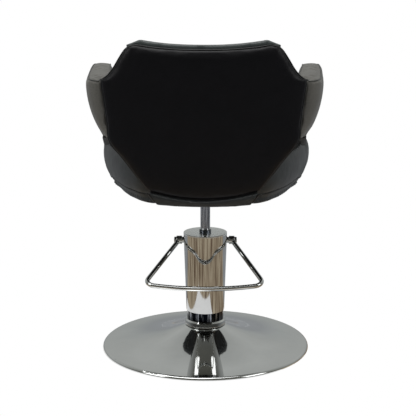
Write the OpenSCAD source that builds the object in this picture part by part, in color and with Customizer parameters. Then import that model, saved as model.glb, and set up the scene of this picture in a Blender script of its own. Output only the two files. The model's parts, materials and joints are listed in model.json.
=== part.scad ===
// Hairdressing chair: upholstered tub seat on a hydraulic pump with a stirrup pedal.
// Millimetres. +Z is up, the seat faces -Y, and the origin is on the floor under the pump's axis.

/* [Foot] */
// Diameter of the round foot
foot_d = 600; // [590:2:620]
// Height of the foot's rim above the floor
rim_h = 10; // [9:0.5:12]
// Rise of the foot from its rim to its crown
foot_rise = 54; // [50:1:60]
// Sheet thickness of the foot
foot_wall = 2.5; // [2:0.25:3]
// Rounding of the foot's rim
rim_round = 8; // [6:0.5:8.5]
// Width of the rubber ring under the rim
gasket_w = 12; // [8:1:16]
// Free ring between the foot's edge and the weight plate inside it
weight_margin = 60; // [56:1:80]
// Thickness of the weight plate
weight_t = 5.5; // [4:0.25:5.5]
// Height of the weight plate above the floor
weight_lift = 3; // [2:0.5:3]

/* [Pump] */
// Diameter of the pump's foot flange
flange_d = 118; // [116:1:124]
// Thickness of the foot flange
flange_h = 20; // [16:1:24]
// Outer diameter of the oil tank
tank_d = 106; // [104:1:108]
// Wall of the oil tank
tank_wall = 3; // [2:0.5:4]
// Height of bare tank that shows below the cover
collar_h = 26; // [20:1:32]
// Height of the pump cover
cover_h = 226; // [220:2:240]
// Diameter of the pump cover at its top
cover_top_d = 125; // [124:1:130]
// Sheet thickness of the pump cover
cover_wall = 1.5; // [1:0.25:2]
// Thickness of the lid on the pump cover
cap_t = 4; // [3:0.5:6]
// Diameter of the ram rod
rod_d = 28; // [26:1:29]
// Bore of the ram cylinder
ram_bore = 36; // [35:0.5:38]
// Wall of the ram cylinder
ram_wall = 3; // [2.5:0.25:3.5]
// How far the seat sinks from where it stands
lift_down = 65; // [50:5:70]
// How far the seat rises from where it stands
lift_up = 85; // [60:5:90]

/* [Pedal] */
// Diameter of the pedal shaft
shaft_d = 18; // [16:0.5:19]
// Length of the pedal shaft
shaft_len = 182; // [176:2:190]
// Distance of the pedal shaft in front of the pump's axis
shaft_front = 30; // [29:0.5:32]
// Depth of the pedal shaft below the cover's top
shaft_drop = 27; // [25:1:30]
// Diameter of the stirrup bar
bar_d = 13; // [12:0.5:14]
// Distance from the pump's axis to each stirrup leg on the shaft
leg_x = 76; // [74:1:80]
// Reach of the stirrup's corner bends from the shaft
bend_reach = 192; // [180:2:200]
// Half the distance between the centres of the corner bends
bend_x = 136; // [126:2:142]
// Bend radius of the stirrup's corners, on the bar's centre line
bend_r = 22; // [20:1:26]
// Radius of the crossbar's gentle bow
bow_r = 738; // [600:10:900]
// Slope of the stirrup below level, at rest
pedal_slope = 22.2; // [18:0.2:24]
// Length of the pump crank
crank_len = 20; // [19:0.5:21]

/* [Seat] */
// Height of the seat's underside above the floor
seat_low = 470; // [466:2:480]
// Height of the upholstered seat box
box_h = 128; // [124:1:132]
// Half width of the seat box
box_half_w = 308; // [306:1:312]
// Reach of the seat box behind its widest line
box_rear = 452; // [446:1:458]
// Reach of the seat box in front of its widest line
box_front = 95; // [92:1:104]
// Distance of the widest line in front of the pump's axis
box_mid = 185; // [182:1:188]
// How far the seat box's sides draw in towards its bottom
box_tuck = 32; // [26:1:36]
// Thickness of the seat cushion on the box
cushion_h = 26; // [22:1:28]
// Thickness of the seat board
board_t = 15; // [12:1:18]
// Margin from the seat box's edge to the seat board
board_margin = 54; // [50:1:60]
// Thickness of the mounting plate
plate_t = 6; // [5:0.5:8]
// Width of the square mounting plate
plate_w = 184; // [170:2:200]

/* [Arms] */
// Overall width over the arms
chair_w = 674; // [670:2:682]
// Height of the arm tops above the floor
arm_top = 802; // [792:2:812]
// Height of the arm pads' lower edge above the floor
arm_low = 640; // [634:2:648]
// How far the arms' outer faces draw in towards the back
arm_draw = 58; // [50:1:62]
// How far the arm's outer face draws in at its lower edge
arm_flare = 35; // [30:1:38]
// Thickness of the pad above the arm board
arm_cap_t = 28; // [22:1:34]
// Thickness of the arm boards
arm_board_t = 12; // [9:1:12]
// Distance from the middle of the chair to the arm boards' outer faces, beside the pump
arm_board_x = 284; // [283:0.5:285]
// Angle between the arm boards and the chair's middle plane
arm_splay = 5.7; // [5.4:0.1:6]
// How far the arm boards' outer faces stand out at the pads' lower edges
board_flare = 10; // [5:1:12]
// Reach of the arms in front of the pump's axis
arm_front = 250; // [244:2:256]
// Reach of the arm tops behind the pump's axis
arm_rear = 227; // [224:1:229]
// Thickness of the inner arm linings
lining_t = 13; // [9:1:13]

/* [Back] */
// Height of the back's top corners
back_top = 898; // [884:2:904]
// Height of the shield panel's lower corners
shield_low = 508; // [503:1:512]
// Half width of the shield panel at its lower edge
back_low_half = 145; // [138:1:150]
// Half width of the back at the arms' lower edge
back_waist_half = 249; // [244:1:250]
// Half width of the back at the arm tops
back_arm_half = 267; // [262:1:268]
// Half width of the back's top edge
back_top_half = 174; // [166:2:184]
// Dip of the top edge between the corners
top_dip = 11; // [6:1:14]
// Sag of the shield's lower edge between its corners
low_sag = 22; // [16:1:26]
// Distance of the shield's lower edge behind the pump's axis
back_rear = 267; // [266:1:269]
// Recline of the back, in degrees
back_lean = 4.3; // [4:0.1:4.6]
// Radius of the back's bend across the chair
back_bend_r = 1020; // [980:10:1100]
// Thickness of the shield panel
shield_t = 20; // [18:1:20]
// Thickness of the moulded back board
back_board_t = 8; // [6:0.5:8]
// Thickness of the back cushion
back_cushion_t = 56; // [44:2:64]
// Rise of the back cushion above the shield's top edge
back_crown = 9; // [6:1:11]

/* [Hidden] */
$fn = 96;

// Clearances: running fits, pieces that lie against each other, and loose holes
run_gap = 0.05;
seat_gap = 0.1;
soft_gap = 0.3;
loose_gap = 0.8;
// Overrun of a cut past the face that it opens
over = 1;

// Foot, from its rim inwards
foot_r = foot_d / 2;
flange_r = flange_d / 2;
rim_flat_r = foot_r - rim_round;
crown_z = rim_h + foot_rise;
dome_run = rim_flat_r - flange_r;
dome_r = (dome_run * dome_run + foot_rise * foot_rise) / (2 * foot_rise);
skirt_gap = 1.5;
gasket_in = 3;
centre_hole_r = 20;

// Foot bolts
bolt_d = 8;
bolt_head_d = 13;
bolt_head_h = 5.5;
bolt_head_room = 2.5;
bolt_circle_r = 40;
bolt_count = 4;
bolt_bite = 16;
hub_low_r = 75;
hub_top_inset = 2;

// Pump, from the floor up
flange_z = crown_z;
flange_top = flange_z + flange_h;
flange_edge = 7;
flange_bevel = 4;
tank_r = tank_d / 2;
tank_in = tank_r - tank_wall;
cover_z = flange_top + collar_h;
cover_top = cover_z + cover_h;
cover_low_r = tank_r + loose_gap / 2 + cover_wall;
cover_top_r = cover_top_d / 2;
cap_z = cover_top + cap_t;
shaft_z = cover_top - shaft_drop;
shaft_y = -shaft_front;
shaft_r = shaft_d / 2;
ear_wall = 2;
ear_r = shaft_r + ear_wall;
head_t = 8;
head_room = 17;
head_top = shaft_z - head_room;
head_z = head_top - head_t;
socket_depth = 4;
spigot_h = 6;
rod_r = rod_d / 2;
ram_in = ram_bore / 2;
ram_out = ram_in + ram_wall;
rod_bush_wall = 3;
bush_r = rod_r + rod_bush_wall;
bush_len = 14;
bush_lip = 3;
bush_lip_w = 3;
spacer_wall = 3;
spacer_in = rod_r + loose_gap;
spacer_out = spacer_in + spacer_wall;
seal_w = 2.1;
seal_h = 3;
wiper_h = 8;
wiper_w = 3;
wiper_foot_w = 2;
wiper_r = rod_r + wiper_w;
wiper_foot_r = rod_r + wiper_foot_w;
wiper_foot_h = 4;
wiper_bevel = 1;
cap_rim_h = 7;
cap_rim_w = 3.5;
cap_edge = 0.8;
cover_slope = (cover_top_r - cover_low_r) / cover_h;

// Ears that carry the pedal shaft
ear_x = 33;
ear_t = 6;
bush_wall = 1;
circlip_t = 2;
circlip_w = 3;

// Plunger pump beside the ram
plunger_x = 29;
plunger_y = shaft_y + crank_len;
plunger_r = 5;
barrel_wall = 2.5;
barrel_r = plunger_r + barrel_wall;
barrel_below_head = 84;
barrel_top = head_z - barrel_below_head;
plunger_head_r = 7;
plunger_head_t = 3;
plunger_bite = 30;
crank_tip_r = 5;
crank_wall = 4;
crank_hub_r = shaft_r + crank_wall;
crank_t = 8;
pin_r = 2;
ball_r = 4;
ball_room = 0.2;
spring_wire = 2.5;
spring_turns = 4;
spring_pitch = 3.2;
spring_start = 31;
spring_r = shaft_r + spring_wire / 2 + soft_gap;
spring_steps = 14;
spring_sides = 6;

// Stirrup in its own plane: x across the chair, s outwards from the shaft
bar_r = bar_d / 2;
sleeve_wall = 3;
swell = 0.1;
swell_len = 2;
sleeve_len = 16;
bow_centre_s = bend_reach - sqrt(pow(bow_r - bend_r, 2) - bend_x * bend_x);
bow_half_angle = atan2(bend_x, bend_reach - bow_centre_s);
leg_dx = bend_x - leg_x;
leg_run = sqrt(leg_dx * leg_dx + bend_reach * bend_reach);
leg_len = sqrt(leg_run * leg_run - bend_r * bend_r);
leg_angle = atan2(leg_dx, bend_reach) + asin(bend_r / leg_run);
shaft_bevel = 1.5;

// Ram and rod
piston_h = 24;
piston_spare = 5;
cylinder_floor = flange_top - socket_depth;
piston_z = cylinder_floor + lift_down + piston_spare;
piston_top = piston_z + piston_h;
groove_h = 4;
groove_depth = 2.5;
groove_z = piston_z + (piston_h - groove_h) / 2;
stub_r = 9;
stub_len = 14;
thrust_t = 2.5;
rod_low = piston_top + thrust_t + run_gap;
hub_neck = 32;
hub_flange_t = 7;
hub_flange_r = 70;
hub_r = 24;
hub_low_bevel = 3;
hub_web = 4;
plate_z = seat_low - plate_t;
hub_top = plate_z - hub_flange_t;
hub_z = hub_top - hub_neck;
rod_top = plate_z - hub_web;
plate_corner = 12;
mount_circle_r = 52;
mount_head_t = 5.5;
mount_head_d = 13;
mount_bolt_d = 8;
mount_bite = 10;

// Seat outline: squared-off oval, with its own powers across, to the rear and to the front
box_side_share = 0.603;
box_rear_share = 1.503;
box_front_share = 0.77;
cushion_side_share = 0.4;
cushion_rear_share = 0.4;
cushion_half_w = 283;
cushion_margin = 40;
cushion_reach = box_rear - cushion_margin;
outline_points = 44;
box_top = seat_low + box_h;
box_round = 14;
// Side profile of the seat box: shares of its height, of its edge rounding and of its tuck at the sides
box_profile_shares = [
  [0, 1.3, 1], [0.045, 0.8, 0.75], [0.15, 0.62, 0.28], [0.19, 0.7, 0.19], [0.245, 0.45, 0.1],
  [0.45, 0.12, 0], [0.64, 0, 0], [0.75, 0.14, 0], [0.85, 0.5, 0], [0.93, 1.05, 0], [0.98, 1.7, 0],
  [1, 2.3, 0]
];
// Profile of the seat cushion: share of its height, then share of its crown's run
cushion_profile_shares = [
  [0, 0.02], [0.2, 0], [0.5, 0.02], [0.75, 0.08], [0.9, 0.25], [0.97, 0.55], [1, 1]
];
crown_run = 120;

// Arms
splay = tan(arm_splay);
arm_run = arm_rear + arm_front;
arm_corner = 8;
arm_crown = 2;
arm_low_round = 4;
arm_end_round = 12;
arm_thin = 3;
top_points = 4;
flare_power = 2.2;
lean = tan(back_lean);
arm_inner_top = arm_top - arm_cap_t;
arm_end_t = 28;
arm_board_front = -arm_front + arm_end_t;
arm_board_rear = 166;
tongue_front = -190;
tongue_rear = -100;
tongue_depth = 62;
// Outer side of an arm from its rear to its front: share of its length, then share of its draw
arm_side_shares = [
  [0, 1], [0.01, 0.83], [0.03, 0.69], [0.065, 0.57], [0.14, 0.44], [0.22, 0.353],
  [0.37, 0.233], [0.53, 0.138], [0.73, 0.035], [0.86, 0], [0.93, 0.01], [0.97, 0.06],
  [0.99, 0.2], [1, 0.38]
];
// Rounding of the arm's edges towards its ends: share of its length, then share of the rounding
arm_end_shares = [
  [0, 0.3], [0.01, 0.1], [0.03, 0], [0.93, 0], [0.97, 0.12], [0.99, 0.45], [1, 1]
];
// Stations along an arm: its front block, its middle, its rear block
front_stations = [1, 0.99, 0.97, 0.945];
mid_stations = [0.86, 0.73, 0.53, 0.37, 0.22];
rear_stations = [0.105, 0.065, 0.03, 0.01, 0];
slant_shares = [[0, 1], [0.065, 1], [0.105, 0.4], [0.125, 0]];
inner_shares = [[0, 0], [0.065, 0], [0.105, 0.75], [0.13, 1]];
// Draw-in at the lower edge along an arm: share of its length, then share of the draw-in
flare_shares = [[0, 1.3], [0.14, 1.37], [0.25, 1.18], [0.4, 1]];
// Heights on the arm's outer face, as shares from its lower edge to its upper corner
flank_shares = [0.12, 0.28, 0.46, 0.64, 0.82];
lining_lift = 3;
lining_low = box_top + cushion_h + lining_lift;
lining_front = arm_board_front + soft_gap;
lining_rear = arm_board_rear - soft_gap;
lining_crown = 3;
// Thickness of a lining over its length and height: share along, then share of thickness
lining_shares = [[0, 0.35], [0.04, 0.75], [0.14, 1], [0.5, 1], [0.86, 1], [0.96, 0.75], [1, 0.35]];

// Back: grid of rows up the back and columns across it
seam = 1.5;
panel_gap = 0.7;
back_span = back_top - arm_top;
// Columns across half the back, as shares of its half width
column_shares = [0, 0.2, 0.4, 0.6, 0.78, 0.9, 0.97, 1];
// Lower flank: share of the height to the waist, then share of the widening
flank_low_shares = [[0, 0], [0.1, 0.12], [0.4, 0.42], [0.7, 0.71], [1, 1]];
// Top corner: share of the height above the arm tops, then share of the narrowing
corner_shares = [
  [0, 0], [0.07, 0.08], [0.16, 0.19], [0.32, 0.33], [0.5, 0.445], [0.68, 0.56],
  [0.84, 0.67], [0.94, 0.78], [1, 1]
];
// Fall of a panel's face towards its sides, and towards its ends
side_fall_shares = [[0, 0], [0.78, 0], [0.9, 0.1], [0.97, 0.4], [1, 1]];
end_fall_shares = [[0, 1], [0.015, 0.45], [0.05, 0.1], [0.1, 0], [0.9, 0], [0.95, 0.1], [0.985, 0.45], [1, 1]];
cushion_side_shares = [[0, 0], [0.6, 0.06], [0.78, 0.16], [0.9, 0.36], [0.97, 0.58], [1, 0.8]];
cushion_end_shares = [[0, 0.7], [0.03, 0.45], [0.1, 0.15], [0.3, 0], [0.8, 0.05], [0.93, 0.25], [0.98, 0.5], [1, 0.75]];
// Share of the edge inset by which the cushion stays inside the shield, from the arm tops up
cushion_inset_shares = [[0, 1], [0.88, 1], [0.92, 0.4], [1, 7]];
shield_edge = 12;
edge_inset = 3;
board_top_drop = 22;
ledge_gap = 1;
strip_draw = 20;
strip_rise = 6;
strip_inset = 2;
strip_tuck = 4;
strip_t = shield_t + panel_gap + back_board_t;
cushion_low = lining_low;
cushion_part_gap = 3;
dip_power = 2.5;

// Value on the way from a to b
function mix(a, b, t) = a + (b - a) * t;

// Power that keeps the sign, for squared-off ovals
function signed_pow(v, p) = sign(v) * pow(abs(v), p);

// Place of the back board's front face
function back_face_y(x, z) =
  back_rear + lean * (z - shield_low) - x * x / (2 * back_bend_r) - shield_t - panel_gap - back_board_t;

// Ring of a seat outline at a height, drawn in by an inset and stopped by the back board
function seat_ring(z, inset, half_w, rear, taper, side_p, rear_p, front_p) =
  [for (i = [0 : outline_points - 1])
    let (
      turn = 90 - (i + 0.5) * 360 / outline_points,
      c = cos(turn),
      s = sin(turn),
      y = -box_mid + (s > 0 ? (rear - inset) * signed_pow(s, rear_p)
                            : (box_front - inset) * signed_pow(s, front_p)),
      x = (half_w - inset - taper * (y + box_mid)) * signed_pow(c, side_p)
    )
    [x, min(y, back_face_y(x, z) - soft_gap - inset), z]];

// Ring of the seat box, with its sides drawn in by a tuck
function box_ring(z, inset, tuck) =
  seat_ring(z, inset, box_half_w - tuck, box_rear, 0, box_side_share, box_rear_share, box_front_share);

// Ring of the seat cushion
function cushion_ring(z, inset) =
  seat_ring(z, inset, cushion_half_w, cushion_reach, splay,
            cushion_side_share, cushion_rear_share, cushion_side_share);

// Half width of the back at a height
function back_half(z) =
  z < arm_low
    ? mix(back_low_half, back_waist_half, lookup((z - shield_low) / (arm_low - shield_low), flank_low_shares))
    : z < arm_top
      ? mix(back_waist_half, back_arm_half, (z - arm_low) / (arm_top - arm_low))
      : mix(back_arm_half, back_top_half, lookup((z - arm_top) / back_span, corner_shares));

// Place of a point on the back: depth is measured forwards from the rear face
function back_point(x, z, depth) =
  [x, back_rear + lean * (z - shield_low) - x * x / (2 * back_bend_r) - depth, z];

// Columns from one side of the back to the other
column_last = len(column_shares) - 1;
columns = concat([for (i = [column_last : -1 : 1]) -column_shares[i]], column_shares);

// Drop of a row between the corners: the top edge dips and the lower edge sags
function row_drop(z, u) =
  z > arm_top ? top_dip * (z - arm_top) / back_span * (1 - pow(abs(u), dip_power))
  : z < arm_low ? low_sag * (arm_low - z) / (arm_low - shield_low) * (1 - u * u) : 0;

// Rows of a panel of the back: its two limits, and the outline's own heights between them
function back_rows(low, top) =
  let (heights = concat(
    [for (s = flank_low_shares) mix(shield_low, arm_low, s[0])],
    [for (s = [1 : 3]) mix(arm_low, arm_top, s / 4)],
    [for (s = corner_shares) mix(arm_top, back_top, s[0])]))
  concat([low], [for (z = heights) if (z > low + edge_inset && z < top - edge_inset) z], [top]);

// Closed solid through a stack of rings of equal, even length. Point i of a ring lies across the
// form from point n - 1 - i, so both ends close in strips.
module ring_loft(rings) {
  n = len(rings[0]);
  last = (len(rings) - 1) * n;
  sides = [for (k = [0 : len(rings) - 2], i = [0 : n - 1])
    let (a = k * n + i, b = k * n + (i + 1) % n) each [[a, b + n, a + n], [a, b, b + n]]];
  ends = [for (i = [0 : n / 2 - 2])
    each [
      [i, n - 2 - i, i + 1], [i, n - 1 - i, n - 2 - i],
      [last + i, last + i + 1, last + n - 2 - i], [last + i, last + n - 2 - i, last + n - 1 - i]
    ]];
  polyhedron([for (ring = rings) each ring], concat(sides, ends));
}

// Straight tube or disc with a hole, standing on z
module tube(outer, inner, height, z = 0) {
  translate([0, 0, z]) difference() {
    cylinder(r = outer, h = height);
    translate([0, 0, -over]) cylinder(r = inner, h = height + 2 * over);
  }
}

// Tube across the chair, from x outwards
module cross_tube(outer, inner, x, width) {
  translate([x, shaft_y, shaft_z]) rotate([0, 90, 0]) tube(outer, inner, width);
}

// Everything under the foot's skin, at a depth below its upper face
module under_foot(depth) {
  intersection() {
    union() {
      difference() {
        square([rim_flat_r, crown_z - depth]);
        translate([rim_flat_r, rim_h + dome_r]) circle(r = dome_r + depth);
      }
      translate([rim_flat_r, rim_h - rim_round]) circle(r = rim_round - depth);
      square([rim_flat_r + rim_round - depth, rim_h - rim_round]);
    }
    square([foot_r, crown_z]);
  }
}

// Pressed and chromed foot
module base_disc() {
  color([0.78, 0.79, 0.8]) difference() {
    rotate_extrude() difference() {
      under_foot(0);
      under_foot(foot_wall);
      square([centre_hole_r, crown_z + over]);
      square([foot_r + over, skirt_gap]);
    }
    foot_bolt_places() cylinder(r = bolt_d / 2 + loose_gap, h = crown_z + over);
  }
}

// Places of the foot bolts round the axis
module foot_bolt_places() {
  for (i = [0 : bolt_count - 1])
    rotate([0, 0, (i + 0.5) * 360 / bolt_count]) translate([bolt_circle_r, 0, 0]) children();
}

// Rubber ring that the foot stands on
module base_gasket() {
  gasket_r = foot_r - foot_wall - gasket_in - rim_round / 2;
  color([0.08, 0.08, 0.08]) tube(gasket_r, gasket_r - gasket_w, rim_h - foot_wall - seat_gap);
}

// Cast plate that keeps the chair from tipping, with a hub under the crown
module base_weight() {
  hub_z1 = crown_z - foot_wall - seat_gap;
  head_z1 = weight_lift + bolt_head_h + bolt_head_room;
  color([0.25, 0.25, 0.26]) difference() {
    union() {
      translate([0, 0, weight_lift]) cylinder(r = foot_r - weight_margin, h = weight_t);
      translate([0, 0, weight_lift])
        cylinder(r1 = hub_low_r, r2 = flange_r - hub_top_inset, h = hub_z1 - weight_lift);
    }
    cylinder(r = centre_hole_r, h = crown_z);
    foot_bolt_places() {
      cylinder(r = bolt_d / 2 + soft_gap, h = crown_z);
      cylinder(r = bolt_head_d / 2 + loose_gap, h = head_z1);
    }
  }
}

// Hexagon bolts from below into the pump's flange
module base_bolts() {
  head_z0 = weight_lift + bolt_head_room;
  color([0.5, 0.5, 0.52]) foot_bolt_places() {
    translate([0, 0, head_z0])
      cylinder(r = bolt_head_d / 2, h = bolt_head_h, $fn = 6);
    translate([0, 0, head_z0])
      cylinder(r = bolt_d / 2, h = flange_z + bolt_bite - head_z0);
  }
}

// Turned foot of the pump, with sockets for the cylinder and the plunger barrel
module pump_flange() {
  color([0.75, 0.76, 0.77]) difference() {
    union() {
      rotate_extrude() {
        polygon([
          [0, flange_z], [flange_r - flange_edge, flange_z],
          [flange_r - flange_edge, flange_z + flange_edge], [flange_r, flange_z + flange_edge],
          [flange_r, flange_top - flange_bevel], [flange_r - flange_bevel, flange_top],
          [0, flange_top]
        ]);
        translate([flange_r - flange_edge, flange_z + flange_edge]) circle(r = flange_edge);
      }
      translate([0, 0, flange_z + flange_edge])
        cylinder(r = tank_in - seat_gap, h = flange_top + spigot_h - flange_z - flange_edge);
    }
    translate([0, 0, cylinder_floor]) cylinder(r = ram_out + run_gap, h = flange_h);
    translate([plunger_x, plunger_y, cylinder_floor]) cylinder(r = barrel_r + run_gap, h = flange_h);
    translate([plunger_x, plunger_y, cylinder_floor - 2 * ball_r - 2 * ball_room])
      cylinder(r = ball_r + ball_room, h = flange_h);
    tube(tank_in + over, tank_in - seal_w - seat_gap, seal_h + 2 * seat_gap, flange_top + seat_gap);
    foot_bolt_places() cylinder(r = bolt_d / 2 + run_gap, h = flange_z + bolt_bite + over);
  }
}

// Sealing ring between flange and tank
module tank_seal() {
  color([0.1, 0.1, 0.1])
    tube(tank_in - run_gap, tank_in - seal_w, seal_h, flange_top + 2 * seat_gap);
}

// Oil tank, whose lower end shows as a chromed collar
module oil_tank() {
  color([0.7, 0.71, 0.73]) tube(tank_r, tank_in, head_z - flange_top, flange_top);
}

// Cylinder that the ram slides in
module ram_cylinder() {
  color([0.55, 0.56, 0.58])
    tube(ram_out, ram_in, head_z + socket_depth - seat_gap - cylinder_floor, cylinder_floor);
}

// Head casting: closes the tank, carries the rod bush and the ears of the pedal shaft
module pump_head() {
  color([0.45, 0.45, 0.47]) difference() {
    union() {
      translate([0, 0, head_z]) cylinder(r = tank_r, h = head_t);
      translate([0, 0, head_z - socket_depth]) cylinder(r = tank_in - seat_gap, h = head_t);
      for (side = [0, 1]) mirror([side, 0, 0]) {
        translate([ear_x, shaft_y, shaft_z]) rotate([0, 90, 0]) cylinder(r = ear_r, h = ear_t);
        translate([ear_x, shaft_y - ear_r + over, head_z + head_t / 2])
          cube([ear_t, 2 * (ear_r - over), shaft_z - head_z - head_t / 2]);
      }
    }
    translate([0, 0, head_z - head_t]) cylinder(r = ram_out + run_gap, h = head_t + socket_depth);
    translate([0, 0, head_z]) cylinder(r = bush_r + run_gap, h = 2 * head_t);
    translate([plunger_x, plunger_y, head_z - head_t])
      cylinder(r = plunger_r + soft_gap, h = 3 * head_t);
    for (side = [0, 1]) mirror([side, 0, 0])
      translate([ear_x - over, shaft_y, shaft_z]) rotate([0, 90, 0])
        cylinder(r = shaft_r + run_gap + bush_wall + run_gap, h = ear_t + 2 * over);
  }
}

// Bush that guides the rod, with a lip on the head
module rod_bush() {
  color([0.72, 0.55, 0.25]) {
    difference() {
      union() {
        translate([0, 0, head_top - bush_len]) cylinder(r = bush_r, h = bush_len + bush_lip);
        translate([0, 0, head_top]) cylinder(r = bush_r + bush_lip_w, h = bush_lip);
      }
      translate([0, 0, head_top - bush_len - over])
        cylinder(r = rod_r + run_gap, h = bush_len + bush_lip + 2 * over);
    }
  }
}

// Spacer that holds the cover's lid at its height
module cap_spacer() {
  color([0.6, 0.6, 0.62])
    tube(spacer_out, spacer_in, cover_top - head_top - bush_lip, head_top + bush_lip);
}

// Tapered chromed cover, with a hole on each side for the pedal shaft
module pump_cover() {
  color([0.66, 0.62, 0.57]) difference() {
    rotate_extrude() polygon([
      [cover_low_r - cover_wall, cover_z], [cover_low_r, cover_z],
      [cover_top_r, cover_top], [cover_top_r - cover_wall, cover_top]
    ]);
    translate([-cover_top_r, shaft_y, shaft_z]) rotate([0, 90, 0])
      cylinder(r = shaft_r + loose_gap, h = 2 * cover_top_r);
  }
}

// Flat lid on the cover, with a rim inside it and a hole for the wiper
module cover_cap() {
  rim_r = cover_top_r - cover_wall - cover_slope * cap_rim_h - seat_gap;
  color([0.78, 0.8, 0.8]) rotate_extrude() polygon([
    [wiper_foot_r + seat_gap, cover_top], [rim_r - cap_rim_w, cover_top],
    [rim_r - cap_rim_w, cover_top - cap_rim_h], [rim_r, cover_top - cap_rim_h],
    [rim_r, cover_top], [cover_top_r, cover_top], [cover_top_r, cap_z - cap_edge],
    [cover_top_r - cap_edge, cap_z], [wiper_foot_r + seat_gap, cap_z]
  ]);
}

// Wiper ring round the rod, standing on the lid
module rod_wiper() {
  bore_r = rod_r + 2 * run_gap;
  color([0.2, 0.21, 0.23]) rotate_extrude() polygon([
    [bore_r, cover_top + seat_gap], [wiper_foot_r, cover_top + seat_gap], [wiper_foot_r, cap_z],
    [wiper_r, cap_z], [wiper_r, cap_z + wiper_h - wiper_bevel],
    [wiper_r - wiper_bevel, cap_z + wiper_h], [bore_r, cap_z + wiper_h]
  ]);
}

// Bronze bushes in the two ears
module shaft_bushes() {
  color([0.72, 0.55, 0.25]) for (side = [0, 1]) mirror([side, 0, 0])
    cross_tube(shaft_r + run_gap + bush_wall, shaft_r + run_gap, ear_x, ear_t);
}

// Coil spring round the shaft that lifts the pedal again
module return_spring() {
  rings = [for (i = [0 : spring_turns * spring_steps])
    let (turn = i * 360 / spring_steps, x = -spring_start + i * spring_pitch / spring_steps)
    [for (j = [0 : spring_sides - 1])
      let (a = (j + 0.5) * 360 / spring_sides, r = spring_r + spring_wire / 2 * cos(a))
      [x + spring_wire / 2 * sin(a), shaft_y + r * cos(turn), shaft_z + r * sin(turn)]]];
  color([0.35, 0.35, 0.37]) ring_loft(rings);
}

// Barrel of the plunger pump, standing in the flange
module plunger_barrel() {
  color([0.55, 0.56, 0.58]) translate([plunger_x, plunger_y, 0])
    tube(barrel_r, plunger_r + run_gap, barrel_top - cylinder_floor, cylinder_floor);
}

// Ball of the inlet valve under the barrel
module valve_ball() {
  color([0.8, 0.8, 0.8])
    translate([plunger_x, plunger_y, cylinder_floor - ball_r - ball_room]) sphere(r = ball_r);
}

// Pedal shaft with bevelled ends and a cross hole for the crank pin
module pedal_shaft() {
  color([0.78, 0.79, 0.8]) difference() {
    translate([-shaft_len / 2, shaft_y, shaft_z]) rotate([0, 90, 0]) rotate_extrude() polygon([
      [0, 0], [shaft_r - shaft_bevel, 0], [shaft_r, shaft_bevel],
      [shaft_r, shaft_len - shaft_bevel], [shaft_r - shaft_bevel, shaft_len], [0, shaft_len]
    ]);
    translate([plunger_x, shaft_y, shaft_z - shaft_d]) cylinder(r = pin_r + run_gap, h = 2 * shaft_d);
  }
}

// Stretch of bar that turns about a centre in the stirrup's plane
module bar_arc(centre_x, centre_s, radius, from, turn) {
  translate([centre_x, centre_s, 0]) rotate([0, 0, from])
    rotate_extrude(angle = turn) translate([radius, 0]) circle(r = bar_r);
}

// Corner bend of the stirrup, with a slight swell at each end of the bend
module corner_bend() {
  from = 90 - bow_half_angle;
  turn = bow_half_angle - 90 - leg_angle;
  bar_arc(bend_x, bend_reach, bend_r, from, turn);
  for (end = [from, from + turn])
    translate([bend_x, bend_reach, 0]) rotate([0, 0, end]) translate([bend_r, -swell_len / 2, 0])
      rotate([-90, 0, 0]) cylinder(r = bar_r + swell, h = swell_len);
}

// Stirrup: sleeves on the shaft, straight legs, corner bends and a bowed crossbar
module pedal_stirrup() {
  color([0.8, 0.8, 0.81]) difference() {
    translate([0, shaft_y, shaft_z]) rotate([-pedal_slope, 0, 0]) union() {
      for (side = [0, 1]) mirror([side, 0, 0]) {
        translate([leg_x - sleeve_len / 2, 0, 0]) rotate([0, 90, 0])
          cylinder(r = shaft_r + sleeve_wall, h = sleeve_len);
        translate([leg_x, 0, 0]) rotate([-90, 0, -leg_angle]) cylinder(r = bar_r, h = leg_len);
        corner_bend();
      }
      bar_arc(0, bow_centre_s, bow_r, 90 - bow_half_angle, 2 * bow_half_angle);
    }
    translate([-shaft_len, shaft_y, shaft_z]) rotate([0, 90, 0])
      cylinder(r = shaft_r + run_gap, h = 2 * shaft_len);
  }
}

// Crank on the shaft that presses the plunger down
module pump_crank() {
  color([0.4, 0.4, 0.42]) translate([plunger_x - crank_t / 2, shaft_y, shaft_z]) difference() {
    union() {
      rotate([0, 90, 0]) cylinder(r = crank_hub_r, h = crank_t);
      translate([0, crank_len, 0]) rotate([0, 90, 0]) cylinder(r = crank_tip_r, h = crank_t);
      translate([0, 0, -crank_tip_r + seat_gap]) cube([crank_t, crank_len, 2 * (crank_tip_r - seat_gap)]);
    }
    translate([-over, 0, 0]) rotate([0, 90, 0])
      cylinder(r = shaft_r + run_gap, h = crank_t + 2 * over);
    translate([crank_t / 2, 0, -shaft_d]) cylinder(r = pin_r + run_gap, h = 2 * shaft_d);
  }
}

// Pin through crank and shaft
module crank_pin() {
  pin_half = sqrt(crank_hub_r * crank_hub_r - pin_r * pin_r);
  color([0.6, 0.6, 0.62]) translate([plunger_x, shaft_y, shaft_z - pin_half])
    cylinder(r = pin_r, h = 2 * pin_half);
}

// Rings that keep the shaft between the ears
module shaft_circlips() {
  color([0.3, 0.3, 0.32]) for (side = [0, 1]) mirror([side, 0, 0])
    cross_tube(shaft_r + circlip_w, shaft_r + run_gap, ear_x + ear_t + soft_gap, circlip_t);
}

// Plunger with its head under the crank's tip
module pump_plunger() {
  head_low = shaft_z - crank_tip_r - soft_gap - plunger_head_t;
  stem_low = barrel_top - plunger_bite;
  color([0.7, 0.7, 0.72]) translate([plunger_x, plunger_y, 0]) {
    translate([0, 0, stem_low]) cylinder(r = plunger_r, h = head_low - stem_low + plunger_head_t);
    translate([0, 0, head_low]) cylinder(r = plunger_head_r, h = plunger_head_t);
  }
}

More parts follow.
